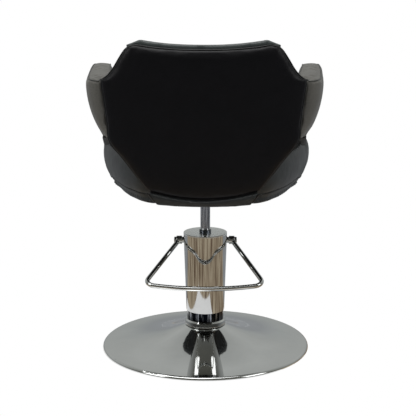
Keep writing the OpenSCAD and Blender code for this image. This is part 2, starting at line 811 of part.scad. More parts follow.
// Piston of the ram, with a groove for its seal and a socket for the rod
module ram_piston() {
  color([0.6, 0.6, 0.62]) difference() {
    translate([0, 0, piston_z]) cylinder(r = ram_in - run_gap, h = piston_h);
    tube(ram_in + over, ram_in - groove_depth, groove_h, groove_z);
    translate([0, 0, piston_top - stub_len - over]) cylinder(r = stub_r + run_gap, h = piston_h);
  }
}

// Seal in the piston's groove
module piston_seal() {
  color([0.08, 0.08, 0.08])
    tube(ram_in - run_gap, ram_in - groove_depth + run_gap, groove_h - 2 * run_gap, groove_z + run_gap);
}

// Thrust ring that the rod turns on
module thrust_ring() {
  color([0.72, 0.55, 0.25]) tube(rod_r - over, stub_r + seat_gap, thrust_t, piston_top);
}

// Polished rod, with a stub in the piston
module ram_rod() {
  color([0.8, 0.81, 0.82]) {
    translate([0, 0, rod_low]) cylinder(r = rod_r, h = rod_top - rod_low);
    translate([0, 0, piston_top - stub_len]) cylinder(r = stub_r, h = rod_low - piston_top + stub_len + over);
  }
}

// Places of the seat's mounting bolts
module mount_bolt_places() {
  for (i = [0 : 3]) rotate([0, 0, (i + 0.5) * 90]) translate([mount_circle_r, 0, 0]) children();
}

// Hub on the rod, with a flange under the mounting plate
module seat_hub() {
  color([0.15, 0.15, 0.16]) difference() {
    rotate_extrude() polygon([
      [0, hub_z], [hub_r - hub_low_bevel, hub_z], [hub_r, hub_z + hub_low_bevel], [hub_r, hub_top],
      [hub_flange_r, hub_top], [hub_flange_r, plate_z], [0, plate_z]
    ]);
    translate([0, 0, hub_z - over]) cylinder(r = rod_r + run_gap, h = rod_top - hub_z + over);
    mount_bolt_places() translate([0, 0, hub_top - over])
      cylinder(r = mount_bolt_d / 2 + soft_gap, h = hub_flange_t + 2 * over);
  }
}

// Square steel plate between hub and seat board
module mount_plate() {
  half = plate_w / 2 - plate_corner;
  color([0.12, 0.12, 0.13]) difference() {
    translate([0, 0, plate_z]) union() {
      translate([-half, -plate_w / 2, 0]) cube([2 * half, plate_w, plate_t]);
      translate([-plate_w / 2, -half, 0]) cube([plate_w, 2 * half, plate_t]);
      for (x = [-half, half], y = [-half, half])
        translate([x, y, 0]) cylinder(r = plate_corner, h = plate_t);
    }
    mount_bolt_places() translate([0, 0, plate_z - over])
      cylinder(r = mount_bolt_d / 2 + soft_gap, h = plate_t + 2 * over);
  }
}

// Bolts through hub and plate into the seat board
module mount_bolts() {
  color([0.5, 0.5, 0.52]) mount_bolt_places() {
    translate([0, 0, hub_top - mount_head_t])
      cylinder(r = mount_head_d / 2, h = mount_head_t, $fn = 6);
    translate([0, 0, hub_top - mount_head_t])
      cylinder(r = mount_bolt_d / 2, h = mount_head_t + hub_flange_t + plate_t + mount_bite);
  }
}

// Blackened board that the seat is built on
module seat_board() {
  color([0.1, 0.1, 0.1]) difference() {
    translate([0, 0, seat_low]) linear_extrude(height = board_t)
      polygon([for (p = box_ring(seat_low, board_margin, box_tuck)) [p[0], p[1]]]);
    mount_bolt_places() translate([0, 0, seat_low - over])
      cylinder(r = mount_bolt_d / 2 + run_gap, h = mount_bite + 2 * over);
  }
}

// Outer face of an arm board
function board_x(y) = arm_board_x - splay * y;

// Plan of an arm board between two ends
module board_plan(front, rear, grow) {
  polygon([
    [board_x(front) + grow, front - grow], [board_x(rear) + grow, rear + grow],
    [board_x(rear) - arm_board_t - grow, rear + grow], [board_x(front) - arm_board_t - grow, front - grow]
  ]);
}

// Upholstered seat box, hollowed from below for the board and slotted for the arm boards
module seat_box() {
  recess = board_margin - soft_gap;
  recess_top = seat_low + board_t + soft_gap;
  color([0.17, 0.17, 0.17]) difference() {
    ring_loft(concat(
      [box_ring(recess_top, recess, box_tuck), box_ring(seat_low, recess, box_tuck)],
      [for (s = box_profile_shares) box_ring(seat_low + box_h * s[0], box_round * s[1], box_tuck * s[2])]
    ));
    for (side = [0, 1]) mirror([side, 0, 0])
      translate([0, 0, box_top - tongue_depth - soft_gap]) linear_extrude(height = 2 * tongue_depth)
        board_plan(tongue_front, tongue_rear, soft_gap);
  }
}

// Crowned cushion between the arm boards
module seat_cushion() {
  low = box_top + soft_gap;
  color([0.14, 0.14, 0.14]) ring_loft(
    [for (s = cushion_profile_shares) cushion_ring(low + cushion_h * s[0], crown_run * s[1])]
  );
}

// Ring round the outer half of an arm board at a height, its outer face moved out
function board_ring(z, out) = [
  [board_x(arm_board_front) - arm_board_t / 2, arm_board_front, z],
  [board_x(arm_board_rear) - arm_board_t / 2, arm_board_rear, z],
  [board_x(arm_board_rear) + out, arm_board_rear, z],
  [board_x(arm_board_front) + out, arm_board_front, z]
];

// Board inside one arm, with a tongue in the seat box and a flared band below the pad
module arm_board() {
  low = box_top + soft_gap;
  translate([0, 0, low]) linear_extrude(height = arm_inner_top - low - soft_gap)
    board_plan(arm_board_front, arm_board_rear, 0);
  ring_loft([board_ring(low, 0), board_ring(arm_low - soft_gap, board_flare)]);
  translate([0, 0, box_top - tongue_depth]) linear_extrude(height = tongue_depth + arm_board_t)
    board_plan(tongue_front, tongue_rear, 0);
}

// Outer face of an arm at its top
function arm_outer(y) = chair_w / 2 - arm_draw * lookup((arm_rear - y) / arm_run, arm_side_shares);

// Inner edge of an arm's top: over the lining, and clear of the back at the rear
function arm_inner(y) =
  mix(back_half(arm_top) + seam, board_x(y) - arm_board_t - lining_t,
      lookup((arm_rear - y) / arm_run, inner_shares));

// Section of an arm pad: the outer side from the lower edge over the top, then back down inside.
// The inner side steps under the top over the board and the lining, or fills in at the ends.
function arm_section(y, inner_low, inner_high) =
  let (
    share = (arm_rear - y) / arm_run,
    inset = arm_end_round * lookup(share, arm_end_shares),
    slant = lean * lookup(share, slant_shares),
    low = arm_low + inset / 2,
    top = arm_top - inset,
    out_x = arm_outer(y),
    in_x = arm_inner(y),
    corner = min(arm_corner, (out_x - in_x) * 0.4),
    flare = arm_flare * lookup(share, flare_shares),
    flank = [for (t = concat([0, 0.03], flank_shares))
      max(out_x - flare * pow(1 - t, flare_power), mix(inner_low, inner_high, t) + arm_thin)],
    outer = concat(
      [[mix(inner_low, flank[0], 0.4), low], [mix(inner_low, flank[0], 0.8), low],
       [flank[1], low + arm_low_round]],
      [for (i = [0 : len(flank_shares) - 1]) [flank[i + 2], mix(low, top - arm_corner, flank_shares[i])]],
      [[out_x, top - arm_corner], [out_x - corner * 0.3, top - arm_corner * 0.3],
       [out_x - corner, top], [mix(in_x, out_x, 0.5), top + arm_crown],
       [in_x + corner / 2, top], [in_x, top - arm_corner / 2], [in_x, arm_inner_top]]
    ),
    n = len(outer),
    upright = n - top_points,
    inner = concat(
      [for (i = [0 : upright - 1])
        [mix(inner_low, inner_high, i / (upright - 1)), mix(low, arm_inner_top, i / (upright - 1))]],
      [for (i = [1 : top_points])
        [mix(inner_high, in_x, i / (top_points + 1)), arm_inner_top]]
    ),
    path = concat(outer, [for (i = [n - 1 : -1 : 0]) inner[i]])
  )
  [for (p = path) [p[0], y + slant * (p[1] - arm_top), p[1]]];

// Section of an arm pad over the board
function arm_step_section(y) = arm_section(y, board_x(y) + soft_gap, board_x(y) + soft_gap);

// Section of an arm pad where it closes against the back
function arm_rear_section(y) =
  arm_section(y, back_half(arm_low) + seam, back_half(arm_inner_top) + seam);

// Padded arm: outer face, flat top and both ends in one cover
module arm_pad() {
  ring_loft(concat(
    [for (s = front_stations)
      let (y = arm_rear - arm_run * s) arm_section(y, arm_inner(y) + arm_thin, arm_inner(y) + arm_thin)],
    [arm_step_section(arm_board_front - soft_gap)],
    [for (s = mid_stations) arm_step_section(arm_rear - arm_run * s)],
    [arm_step_section(arm_board_rear + soft_gap), arm_rear_section(arm_board_rear + 2 * soft_gap)],
    [for (s = rear_stations) arm_rear_section(arm_rear - arm_run * s)]
  ));
}

// Thin cushion on the inner side of an arm board
module arm_lining() {
  height = arm_inner_top - soft_gap - lining_low;
  ring_loft([for (s = lining_shares)
    let (
      y = mix(lining_front, lining_rear, s[0]),
      outer_x = board_x(y) - arm_board_t - soft_gap,
      face = [for (t = lining_shares)
        [outer_x - (lining_t - lining_crown) * s[1] * t[1] - lining_crown * s[1] * t[1] * t[1], y,
         lining_low + height * t[0]]],
      wall = [for (t = lining_shares) [outer_x, y, lining_low + height * t[0]]]
    )
    concat([for (i = [len(face) - 1 : -1 : 0]) face[i]], wall)]);
}

module arm_board_left() { color([0.07, 0.07, 0.07]) arm_board(); }
module arm_board_right() { color([0.07, 0.07, 0.07]) mirror([1, 0, 0]) arm_board(); }
module arm_pad_left() { color([0.3, 0.3, 0.28]) arm_pad(); }
module arm_pad_right() { color([0.3, 0.3, 0.28]) mirror([1, 0, 0]) arm_pad(); }
module arm_lining_left() { color([0.16, 0.16, 0.16]) arm_lining(); }
module arm_lining_right() { color([0.16, 0.16, 0.16]) mirror([1, 0, 0]) arm_lining(); }

// Moulded blackened board between the cushion and the shield
module back_board() {
  rear = shield_t + panel_gap;
  color([0.1, 0.1, 0.1]) ring_loft([for (z = back_rows(shield_low, back_top - board_top_drop))
    let (half = back_half(z) - edge_inset)
    concat(
      [for (u = columns) back_point(u * half, z - row_drop(z, u), rear)],
      [for (i = [len(columns) - 1 : -1 : 0])
        let (u = columns[i]) back_point(u * half, z - row_drop(z, u), rear + back_board_t)]
    )]);
}

// Shield panel over the whole rear of the back
module back_shield() {
  color([0.07, 0.07, 0.075]) ring_loft([for (z = back_rows(shield_low, back_top))
    let (
      half = back_half(z),
      rise = (z - shield_low) / (back_top - shield_low),
      end_fall = lookup(rise, end_fall_shares)
    )
    concat(
      [for (u = columns)
        back_point(u * half, z - row_drop(z, u),
                   shield_edge * max(end_fall, lookup(abs(u), side_fall_shares)))],
      [for (i = [len(columns) - 1 : -1 : 0])
        let (u = columns[i]) back_point(u * half, z - row_drop(z, u), shield_t)]
    )]);
}

// Back cushion: crowned front, and a crown that stands above the shield
module back_cushion() {
  rear = shield_t + panel_gap;
  board = rear + back_board_t + panel_gap;
  ledge = back_top - board_top_drop + ledge_gap;
  top = back_top + back_crown;
  rows = back_rows(cushion_low, top);
  steps = concat([for (z = rows) if (z < ledge - edge_inset) z], [ledge, ledge + seam],
                 [for (z = rows) if (z > ledge + edge_inset) z]);
  color([0.28, 0.3, 0.29]) ring_loft([for (z = steps)
    let (
      rise = (z - cushion_low) / (top - cushion_low),
      shoulder = max(0, (z - arm_top) / (top - arm_top)),
      half = back_half(min(z, back_top)) - edge_inset * lookup(shoulder, cushion_inset_shares),
      behind = z > ledge ? rear : board,
      end_share = lookup(rise, cushion_end_shares)
    )
    concat(
      [for (u = columns) back_point(u * half, z - row_drop(z, u), behind)],
      [for (i = [len(columns) - 1 : -1 : 0])
        let (u = columns[i], fall = max(end_share, lookup(abs(u), cushion_side_shares)))
        back_point(u * half, z - row_drop(z, u), board + back_cushion_t * (1 - fall))]
    )]);
}

// Height of the strip at x, at a share of the way from its lower edge to the shield
function strip_z(x, s) =
  let (u = x / back_low_half)
  mix(seat_low + strip_rise * u * u, shield_low - low_sag * (1 - u * u) - soft_gap, s);

// Strip under the sagging lower edges of the shield and the board, down to the underside
module back_strip() {
  color([0.16, 0.17, 0.17]) ring_loft([for (s = [0, 0.3, 1])
    let (
      half = back_low_half - strip_draw * (1 - s) - strip_inset,
      depth = strip_inset + strip_tuck * (1 - s) * (1 - s)
    )
    concat(
      [for (u = columns) back_point(u * half, strip_z(u * half, s), depth)],
      [for (i = [len(columns) - 1 : -1 : 0])
        let (u = columns[i]) back_point(u * half, strip_z(u * half, s), strip_t)]
    )]);
}

base_gasket();
base_disc();
base_weight();
base_bolts();
pump_flange();
oil_tank();
tank_seal();
ram_cylinder();
pump_head();
rod_bush();
cap_spacer();
pump_cover();
cover_cap();
rod_wiper();
shaft_bushes();
return_spring();
plunger_barrel();
valve_ball();
pedal_shaft();
pedal_stirrup();
pump_crank();
crank_pin();
shaft_circlips();
pump_plunger();
ram_piston();
piston_seal();
thrust_ring();
ram_rod();
seat_hub();
mount_plate();
mount_bolts();
seat_board();
seat_box();
seat_cushion();
arm_board_left();
arm_board_right();
arm_pad_left();
arm_pad_right();
arm_lining_left();
arm_lining_right();
back_board();
back_cushion();
back_shield();
back_strip();
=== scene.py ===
import json
import math

import bpy
import numpy as np
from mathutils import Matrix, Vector
from mathutils.kdtree import KDTree


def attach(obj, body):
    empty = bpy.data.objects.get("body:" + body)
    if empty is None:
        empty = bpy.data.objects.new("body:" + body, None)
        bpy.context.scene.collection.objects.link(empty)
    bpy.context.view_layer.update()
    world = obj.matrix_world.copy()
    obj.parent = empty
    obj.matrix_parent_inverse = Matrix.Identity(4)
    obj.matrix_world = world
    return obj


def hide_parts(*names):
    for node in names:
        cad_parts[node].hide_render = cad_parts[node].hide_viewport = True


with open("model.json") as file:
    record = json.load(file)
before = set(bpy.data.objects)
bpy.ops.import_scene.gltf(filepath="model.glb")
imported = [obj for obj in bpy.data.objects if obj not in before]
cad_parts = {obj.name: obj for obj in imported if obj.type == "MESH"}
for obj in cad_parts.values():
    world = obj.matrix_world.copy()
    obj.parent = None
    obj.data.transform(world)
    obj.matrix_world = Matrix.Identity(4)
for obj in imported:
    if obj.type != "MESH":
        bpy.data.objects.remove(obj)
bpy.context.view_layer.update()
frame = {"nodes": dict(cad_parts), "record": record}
nodes = frame["nodes"]
scene = bpy.context.scene

# Camera: behind the chair, a little to its left and above, with the pump left of the picture's middle
CAMERA_DISTANCE = 3.2
CAMERA_HEIGHT = 1.1297
CAMERA_TILT = 12.67
CAMERA_YAW = 0.95
CAMERA_TURN = 0.14
LENS_MM = 99.24

bpy.ops.object.camera_add(
    location=(
        -CAMERA_DISTANCE * math.sin(math.radians(CAMERA_YAW)),
        CAMERA_DISTANCE * math.cos(math.radians(CAMERA_YAW)),
        CAMERA_HEIGHT,
    ),
    rotation=(math.radians(90 - CAMERA_TILT), 0, math.radians(180 + CAMERA_YAW - CAMERA_TURN)),
)
camera = bpy.context.object
camera.name = "camera"
camera.data.lens = LENS_MM
camera.data.sensor_width = 36
camera.data.clip_end = 60
scene.camera = camera
scene.view_settings.view_transform = "Standard"


# Materials

def linear(code):
    """An sRGB hex colour as linear red, green, blue and full alpha."""
    parts = [int(code[i : i + 2], 16) / 255 for i in (0, 2, 4)]
    return tuple(v / 12.92 if v <= 0.04045 else ((v + 0.055) / 1.055) ** 2.4 for v in parts) + (1.0,)


def add(tree, kind, values=None, links=None, **settings):
    """One node with its settings, the values of its sockets and its links."""
    made = tree.nodes.new(kind)
    for key, value in settings.items():
        setattr(made, key, value)
    for key, value in (values or {}).items():
        made.inputs[key].default_value = value
    for key, source in (links or {}).items():
        tree.links.new(source, made.inputs[key])
    return made


def new_material(name):
    """An empty material and its node tree."""
    material = bpy.data.materials.new(name)
    material.use_nodes = True
    material.node_tree.nodes.clear()
    return material, material.node_tree


# Lengths of what vinyl over foam shows besides its pebbles, and of the clouds on metal
CREASE_MM, WAVE_MM, PATCH_MM, CLOUD_MM = 25, 120, 60, 70


def leatherette(name, dark, light, grain_mm, depth_mm, rough, sheen, spec):
    """Vinyl leather on foam: pebbled skin, faint patches of colour and soft folds."""
    material, tree = new_material(name)
    place = add(tree, "ShaderNodeTexCoord").outputs["Object"]
    # Pebbles of the embossed skin; the real ones are about 1 mm and are drawn coarser so that they show
    pebbles = add(tree, "ShaderNodeTexVoronoi", {"Scale": 1000 / grain_mm, "Randomness": 0.9},
                  {"Vector": place}, feature="SMOOTH_F1").outputs["Distance"]
    # Creases of the skin
    creases = add(tree, "ShaderNodeTexNoise", {"Scale": 1000 / CREASE_MM, "Detail": 3, "Distortion": 0.6},
                  {"Vector": place}).outputs["Fac"]
    # Slow waves where the cover lies over the foam
    waves = add(tree, "ShaderNodeTexNoise", {"Scale": 1000 / WAVE_MM, "Detail": 1.5},
                {"Vector": place}).outputs["Fac"]
    # Patches that use has rubbed lighter
    patches = add(tree, "ShaderNodeTexNoise", {"Scale": 1000 / PATCH_MM, "Detail": 4, "Roughness": 0.6},
                  {"Vector": place}).outputs["Fac"]
    shade = add(tree, "ShaderNodeMix", {"A": linear(dark), "B": linear(light)}, {"Factor": patches},
                data_type="RGBA")
    # Pits between pebbles hold less light
    pits = add(tree, "ShaderNodeMapRange",
               {"From Min": 0.15, "From Max": 0.75, "To Min": 1.0, "To Max": 0.82},
               {"Value": pebbles}).outputs["Result"]
    colour = add(tree, "ShaderNodeMix", {"Factor": 1.0}, {"A": shade.outputs["Result"], "B": pits},
                 data_type="RGBA", blend_type="MULTIPLY")
    gloss = add(tree, "ShaderNodeMapRange", {"To Min": rough - 0.05, "To Max": rough + 0.07},
                {"Value": creases}).outputs["Result"]
    skin = add(tree, "ShaderNodeBump", {"Strength": 0.5, "Distance": depth_mm / 1000},
               {"Height": pebbles}, invert=True)
    folds = add(tree, "ShaderNodeBump", {"Strength": 0.35, "Distance": 0.0012},
                {"Height": creases, "Normal": skin.outputs["Normal"]})
    bulge = add(tree, "ShaderNodeBump", {"Strength": 0.6, "Distance": 0.004},
                {"Height": waves, "Normal": folds.outputs["Normal"]})
    shader = add(tree, "ShaderNodeBsdfPrincipled",
                 {"IOR": 1.5, "Specular IOR Level": spec, "Sheen Weight": sheen, "Sheen Roughness": 0.5},
                 {"Base Color": colour.outputs["Result"], "Roughness": gloss,
                  "Normal": bulge.outputs["Normal"]})
    add(tree, "ShaderNodeOutputMaterial", links={"Surface": shader.outputs["BSDF"]})
    return material


def metal(name, colour, stain_and_reflection, rough, spread, scratch_mm, depth_mm, along=(1, 1, 1), streaks=None):
    """Bare or plated metal: scratches drawn out along one way, and faint clouds of stain, or streaks of a
    second colour that are a painted reflection on the rod and the tank's band.
    """
    material, tree = new_material(name)
    place = add(tree, "ShaderNodeTexCoord").outputs["Object"]
    drawn = add(tree, "ShaderNodeMapping", {"Scale": along}, {"Vector": place}).outputs["Vector"]
    scratches = add(tree, "ShaderNodeTexNoise", {"Scale": 1000 / scratch_mm, "Detail": 4, "Roughness": 0.6},
                    {"Vector": drawn}).outputs["Fac"]
    # Streaks mix in the second colour: on the rod and the tank's band this is a painted reflection
    if streaks:
        stain_and_reflection_mix = add(tree, "ShaderNodeMapRange", {"From Min": streaks[0], "From Max": streaks[1]},
                      {"Value": scratches}).outputs["Result"]
    else:
        stain_and_reflection_mix = add(tree, "ShaderNodeTexNoise", {"Scale": 1000 / CLOUD_MM, "Detail": 3},
                      {"Vector": place}).outputs["Fac"]
    tint = add(tree, "ShaderNodeMix", {"A": linear(colour), "B": linear(stain_and_reflection)}, {"Factor": stain_and_reflection_mix},
               data_type="RGBA")
    gloss = add(tree, "ShaderNodeMapRange",
                {"From Min": 0.3, "From Max": 0.7, "To Min": rough, "To Max": rough + spread},
                {"Value": scratches}).outputs["Result"]
    relief = add(tree, "ShaderNodeBump", {"Strength": 0.4, "Distance": depth_mm / 1000},
                 {"Height": scratches})
    shader = add(tree, "ShaderNodeBsdfPrincipled", {"Metallic": 1.0},
                 {"Base Color": tint.outputs["Result"], "Roughness": gloss,
                  "Normal": relief.outputs["Normal"]})
    add(tree, "ShaderNodeOutputMaterial", links={"Surface": shader.outputs["BSDF"]})
    return material


def matter(name, dark, light, rough, grain_mm, depth_mm, along=(1, 1, 1), spec=0.5):
    """Paint, rubber, wood or cast skin: two shades mixed by its grain, which also gives its relief."""
    material, tree = new_material(name)
    place = add(tree, "ShaderNodeTexCoord").outputs["Object"]
    drawn = add(tree, "ShaderNodeMapping", {"Scale": along}, {"Vector": place}).outputs["Vector"]
    grain = add(tree, "ShaderNodeTexNoise", {"Scale": 1000 / grain_mm, "Detail": 5, "Roughness": 0.62},
                {"Vector": drawn}).outputs["Fac"]
    colour = add(tree, "ShaderNodeMix", {"A": linear(dark), "B": linear(light)}, {"Factor": grain},
                 data_type="RGBA")
    gloss = add(tree, "ShaderNodeMapRange", {"To Min": rough - 0.06, "To Max": rough + 0.08},
                {"Value": grain}).outputs["Result"]
    relief = add(tree, "ShaderNodeBump", {"Strength": 0.6, "Distance": depth_mm / 1000}, {"Height": grain})
    shader = add(tree, "ShaderNodeBsdfPrincipled", {"IOR": 1.5, "Specular IOR Level": spec},
                 {"Base Color": colour.outputs["Result"], "Roughness": gloss,
                  "Normal": relief.outputs["Normal"]})
    add(tree, "ShaderNodeOutputMaterial", links={"Surface": shader.outputs["BSDF"]})
    return material


# Black vinyl on the shield: smooth and nearly without light of its own
black_leatherette = leatherette("black_vinyl_leatherette", "08080b", "0f0e12", grain_mm=4.0, depth_mm=0.25,
                                rough=0.38, sheen=0.0, spec=0.2)
# Dark vinyl of the seat box, strip and cushion: a soft grey light on its bends
dark_leatherette = leatherette("dark_vinyl_leatherette", "1c1f20", "272a2a", grain_mm=4.0, depth_mm=0.3,
                               rough=0.42, sheen=0.02, spec=0.45)
# Warm grey vinyl of the arms, dull, with a plain pebble
grey_leatherette = leatherette("grey_vinyl_leatherette", "53514c", "615f59", grain_mm=3.6, depth_mm=0.5,
                               rough=0.5, sheen=0.05, spec=0.4)
# Grey-green vinyl of the back cushion, whose crown catches the light from above
crown_leatherette = leatherette("slate_vinyl_leatherette", "343a39", "434948", grain_mm=3.8, depth_mm=0.4,
                                rough=0.45, sheen=0.04, spec=0.5)
# Piping: black vinyl drawn tight over a cord, a thin bright line along each edge
piping_vinyl = leatherette("black_piping_vinyl", "0b0b0c", "131313", grain_mm=3.0, depth_mm=0.15,
                           rough=0.36, sheen=0.0, spec=0.45)
# Grey piping round the arm tops, a little darker than the cover
arm_piping_vinyl = leatherette("grey_piping_vinyl", "2c2c29", "3a3936", grain_mm=3.0, depth_mm=0.15,
                               rough=0.42, sheen=0.0, spec=0.5)
# Chrome on pressed steel: mirror bright, with hairline polishing marks
chrome = metal("chromed_steel", "d8d9d8", "c8cac9", rough=0.03, spread=0.04, scratch_mm=9.0, depth_mm=0.004)
# Chrome on the drawn cover, whose marks run up and down
cover_chrome = metal("chromed_drawn_cover", "d2d3d3", "b6b7b6", rough=0.04, spread=0.05, scratch_mm=6.0,
                     depth_mm=0.02, along=(1, 1, 0.04))
# The lid is brushed to a satin face, which spreads what it mirrors
lid_chrome = metal("satin_chromed_lid", "f2f4f2", "e6e8e6", rough=0.24, spread=0.08, scratch_mm=3.0,
                   depth_mm=0.02)
# Bare band of the oil tank: steel painted near black with bright upright streaks, a painted reflection of the
# dark surroundings
tank_painted_reflection = metal("steel_with_painted_dark_reflection", "06080d", "a4a9b2", rough=0.08, spread=0.08, scratch_mm=7.0,
                   depth_mm=0.02, along=(1, 1, 0.04), streaks=(0.5, 0.66))
# Scraper ring round the rod: turned steel, dark, with lighter upright streaks
wiper_steel = metal("dark_streaked_steel", "2a2e36", "7c828c", rough=0.2, spread=0.1, scratch_mm=4.0,
                    depth_mm=0.03, along=(1, 1, 0.1), streaks=(0.42, 0.6))
# Ground and polished rod: bright and dark lines along its whole length, a painted reflection of the streaked
# surroundings
rod_painted_reflection = metal("ground_rod_painted_reflection", "96989c", "d6d7d9", rough=0.08, spread=0.06, scratch_mm=4.0,
                  depth_mm=0.02, along=(1, 1, 0.05), streaks=(0.42, 0.6))
# Machined steel of hubs, bolts and plates: a dull grey with fine tool marks
plain_steel = metal("plain_machined_steel", "9fa1a4", "85878b", rough=0.28, spread=0.15, scratch_mm=2.0,
                    depth_mm=0.03)
# Bearing bronze: brown gold, open grained and matt
bronze = metal("sintered_bronze", "b08a4a", "94703a", rough=0.35, spread=0.12, scratch_mm=1.5, depth_mm=0.03)
# Cast iron under a thin coat of paint, with the sand's grain coming through
cast_iron = matter("painted_cast_iron", "2c2d2f", "3a3b3d", rough=0.62, grain_mm=3.0, depth_mm=0.5)
# Baked enamel on the seat's plate: an even half gloss
black_paint = matter("black_baked_enamel", "0f0f10", "1a1a1b", rough=0.38, grain_mm=6.0, depth_mm=0.05)
# Moulded rubber: matt and almost without a highlight
rubber = matter("moulded_black_rubber", "111111", "1c1c1b", rough=0.75, grain_mm=3.0, depth_mm=0.15, spec=0.3)
# Board stained black, whose grain runs from front to back; where it shows in the recess under the arms, its
# black is also painted shade
black_board = matter("black_board_stain_and_shade", "070707", "101010", rough=0.5, grain_mm=8.0, depth_mm=0.1,
                     along=(1, 0.2, 1))

SLOT_MATERIALS = {
    "chrome": chrome, "cover_chrome": cover_chrome, "cast_iron": cast_iron, "plain_steel": plain_steel,
    "black_paint": black_paint, "bronze": bronze, "rubber": rubber,
    "black_board": black_board, "black_leatherette": black_leatherette,
    "dark_leatherette": dark_leatherette, "grey_leatherette": grey_leatherette,
}


# Modelling helpers

def only(piece):
    """Selects one object and makes it active."""
    bpy.ops.object.select_all(action="DESELECT")
    piece.select_set(True)
    bpy.context.view_layer.objects.active = piece


def apply_modifier(piece, kind, **settings):
    """Adds one modifier with its settings and applies it."""
    only(piece)
    made = piece.modifiers.new(kind.lower(), kind)
    for key, value in settings.items():
        setattr(made, key, value)
    bpy.ops.object.modifier_apply(modifier=made.name)


def corners_of(piece):
    """The places of a mesh's corners, as rows of x, y, z."""
    places = np.empty(len(piece.data.vertices) * 3)
    piece.data.vertices.foreach_get("co", places)
    return places.reshape(-1, 3)


def move_corners(piece, places):
    """Puts a mesh's corners in new places."""
    piece.data.vertices.foreach_set("co", places.ravel())
    piece.data.update()


WELD = 0.00003  # Corners nearer than this are one
PIPING_WELD = 0.0005  # The same for the ends of a closed line of piping


def welded_copy(node, name):
    """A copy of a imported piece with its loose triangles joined, left in edit mode."""
    piece = bpy.data.objects.new(name, nodes[node].data.copy())
    scene.collection.objects.link(piece)
    piece.data.materials.clear()
    only(piece)
    bpy.ops.mesh.customdata_custom_splitnormals_clear()
    bpy.ops.object.mode_set(mode="EDIT")
    bpy.ops.mesh.select_all(action="SELECT")
    bpy.ops.mesh.remove_doubles(threshold=WELD)
    return piece


def trimmed(node, name, *planes):
    """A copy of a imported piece, cut off by planes, each given as a place on it and its outward side."""
    piece = welded_copy(node, name)
    for on_plane, outwards in planes:
        bpy.ops.mesh.select_all(action="SELECT")
        bpy.ops.mesh.bisect(plane_co=on_plane, plane_no=outwards, use_fill=True, clear_outer=True)
    bpy.ops.object.mode_set(mode="OBJECT")
    return piece


TAKE_UP = 0.8  # Share of what is missing that a round of smooth_copy makes good


def smooth_copy(node, name, cells, slots=None, filling=None, rounds=5):
    """A packed soft solid as a smooth closed skin of even cells, its slots for boards closed or filled."""
    piece = welded_copy(node, name)
    if slots:
        bpy.ops.mesh.select_all(action="DESELECT")
        bpy.ops.object.mode_set(mode="OBJECT")
        for face in piece.data.polygons:
            face.select = slots(face.center)
        bpy.ops.object.mode_set(mode="EDIT")
        bpy.ops.mesh.select_mode(type="FACE")
        bpy.ops.mesh.delete(type="FACE")
        bpy.ops.mesh.select_all(action="SELECT")
        bpy.ops.mesh.select_mode(type="VERT")
        bpy.ops.mesh.fill_holes(sides=0)
        bpy.ops.mesh.select_all(action="SELECT")
        bpy.ops.mesh.dissolve_limited(angle_limit=math.radians(0.2))
    bpy.ops.mesh.tris_convert_to_quads(face_threshold=math.radians(35), shape_threshold=math.radians(120))
    bpy.ops.object.mode_set(mode="OBJECT")
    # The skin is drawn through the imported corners, since rounding alone would shrink the form. Each round
    # takes up most of what is still missing
    packed = corners_of(piece)
    for _ in range(rounds):
        trial = piece.modifiers.new("round", "SUBSURF")
        trial.levels = 2
        rounded = piece.evaluated_get(bpy.context.evaluated_depsgraph_get()).to_mesh()
        reached = np.empty(len(rounded.vertices) * 3)
        rounded.vertices.foreach_get("co", reached)
        piece.to_mesh_clear()
        piece.modifiers.remove(trial)
        missing = packed - reached.reshape(-1, 3)[: len(packed)]
        move_corners(piece, corners_of(piece) + TAKE_UP * missing)
    apply_modifier(piece, "SUBSURF", levels=2, render_levels=2)
    if filling:
        only(piece)
        filling.select_set(True)
        bpy.ops.object.join()
    apply_modifier(piece, "REMESH", mode="VOXEL", voxel_size=cells)
    return piece


CLOTH_FRAMES = 20  # Long enough for a cover to fill out to its cap


def inflate(piece, cap):
    """Blows a skin up as cloth, and holds each corner within cap(place) of where it was."""
    start = corners_of(piece)
    only(piece)
    cloth = piece.modifiers.new("cloth", "CLOTH")
    cloth.settings.quality = 4
    cloth.settings.use_pressure = True
    cloth.settings.uniform_pressure_force = 4.0
    cloth.settings.effector_weights.gravity = 0
    cloth.settings.tension_stiffness = 12
    cloth.settings.compression_stiffness = 12
    cloth.settings.bending_stiffness = 0.5
    cloth.collision_settings.use_collision = False
    for step in range(1, CLOTH_FRAMES + 1):
        scene.frame_set(step)
    bpy.ops.object.modifier_apply(modifier=cloth.name)
    scene.frame_set(1)
    moved = corners_of(piece) - start
    reach = np.linalg.norm(moved, axis=1)
    limit = np.array([cap(Vector(p)) for p in start])
    share = np.minimum(1.0, limit / np.maximum(reach, 1e-9))
    move_corners(piece, start + moved * share[:, None])


def pad_skin(node, name, cells, cap=None, **how):
    """A padded piece's skin: a smooth copy, blown up where it has a cap, with its cells halved."""
    piece = smooth_copy(node, name, cells, **how)
    if cap:
        inflate(piece, cap)
    apply_modifier(piece, "SUBSURF", levels=1, render_levels=1)
    return piece


def sink(piece, line, depth, width):
    """Draws a skin in along a seam, deepest on the line and nothing at width from it."""
    tree = KDTree(len(line))
    for i, p in enumerate(line):
        tree.insert(p, i)
    tree.balance()
    normals = np.empty(len(piece.data.vertices) * 3)
    piece.data.vertices.foreach_get("normal", normals)
    normals = normals.reshape(-1, 3)
    places = corners_of(piece)
    for i, p in enumerate(places):
        gap = tree.find(p)[2]
        if gap < width:
            places[i] -= normals[i] * depth * (1 - (gap / width) ** 2) ** 2
    move_corners(piece, places)


def between(line, step):
    """More points on a line, no further apart than step."""
    made = []
    for a, b in zip(line, line[1:]):
        a, b = Vector(a), Vector(b)
        count = max(1, math.ceil((b - a).length / step))
        made += [a.lerp(b, k / count) for k in range(count)]
    return made + [Vector(line[-1])]


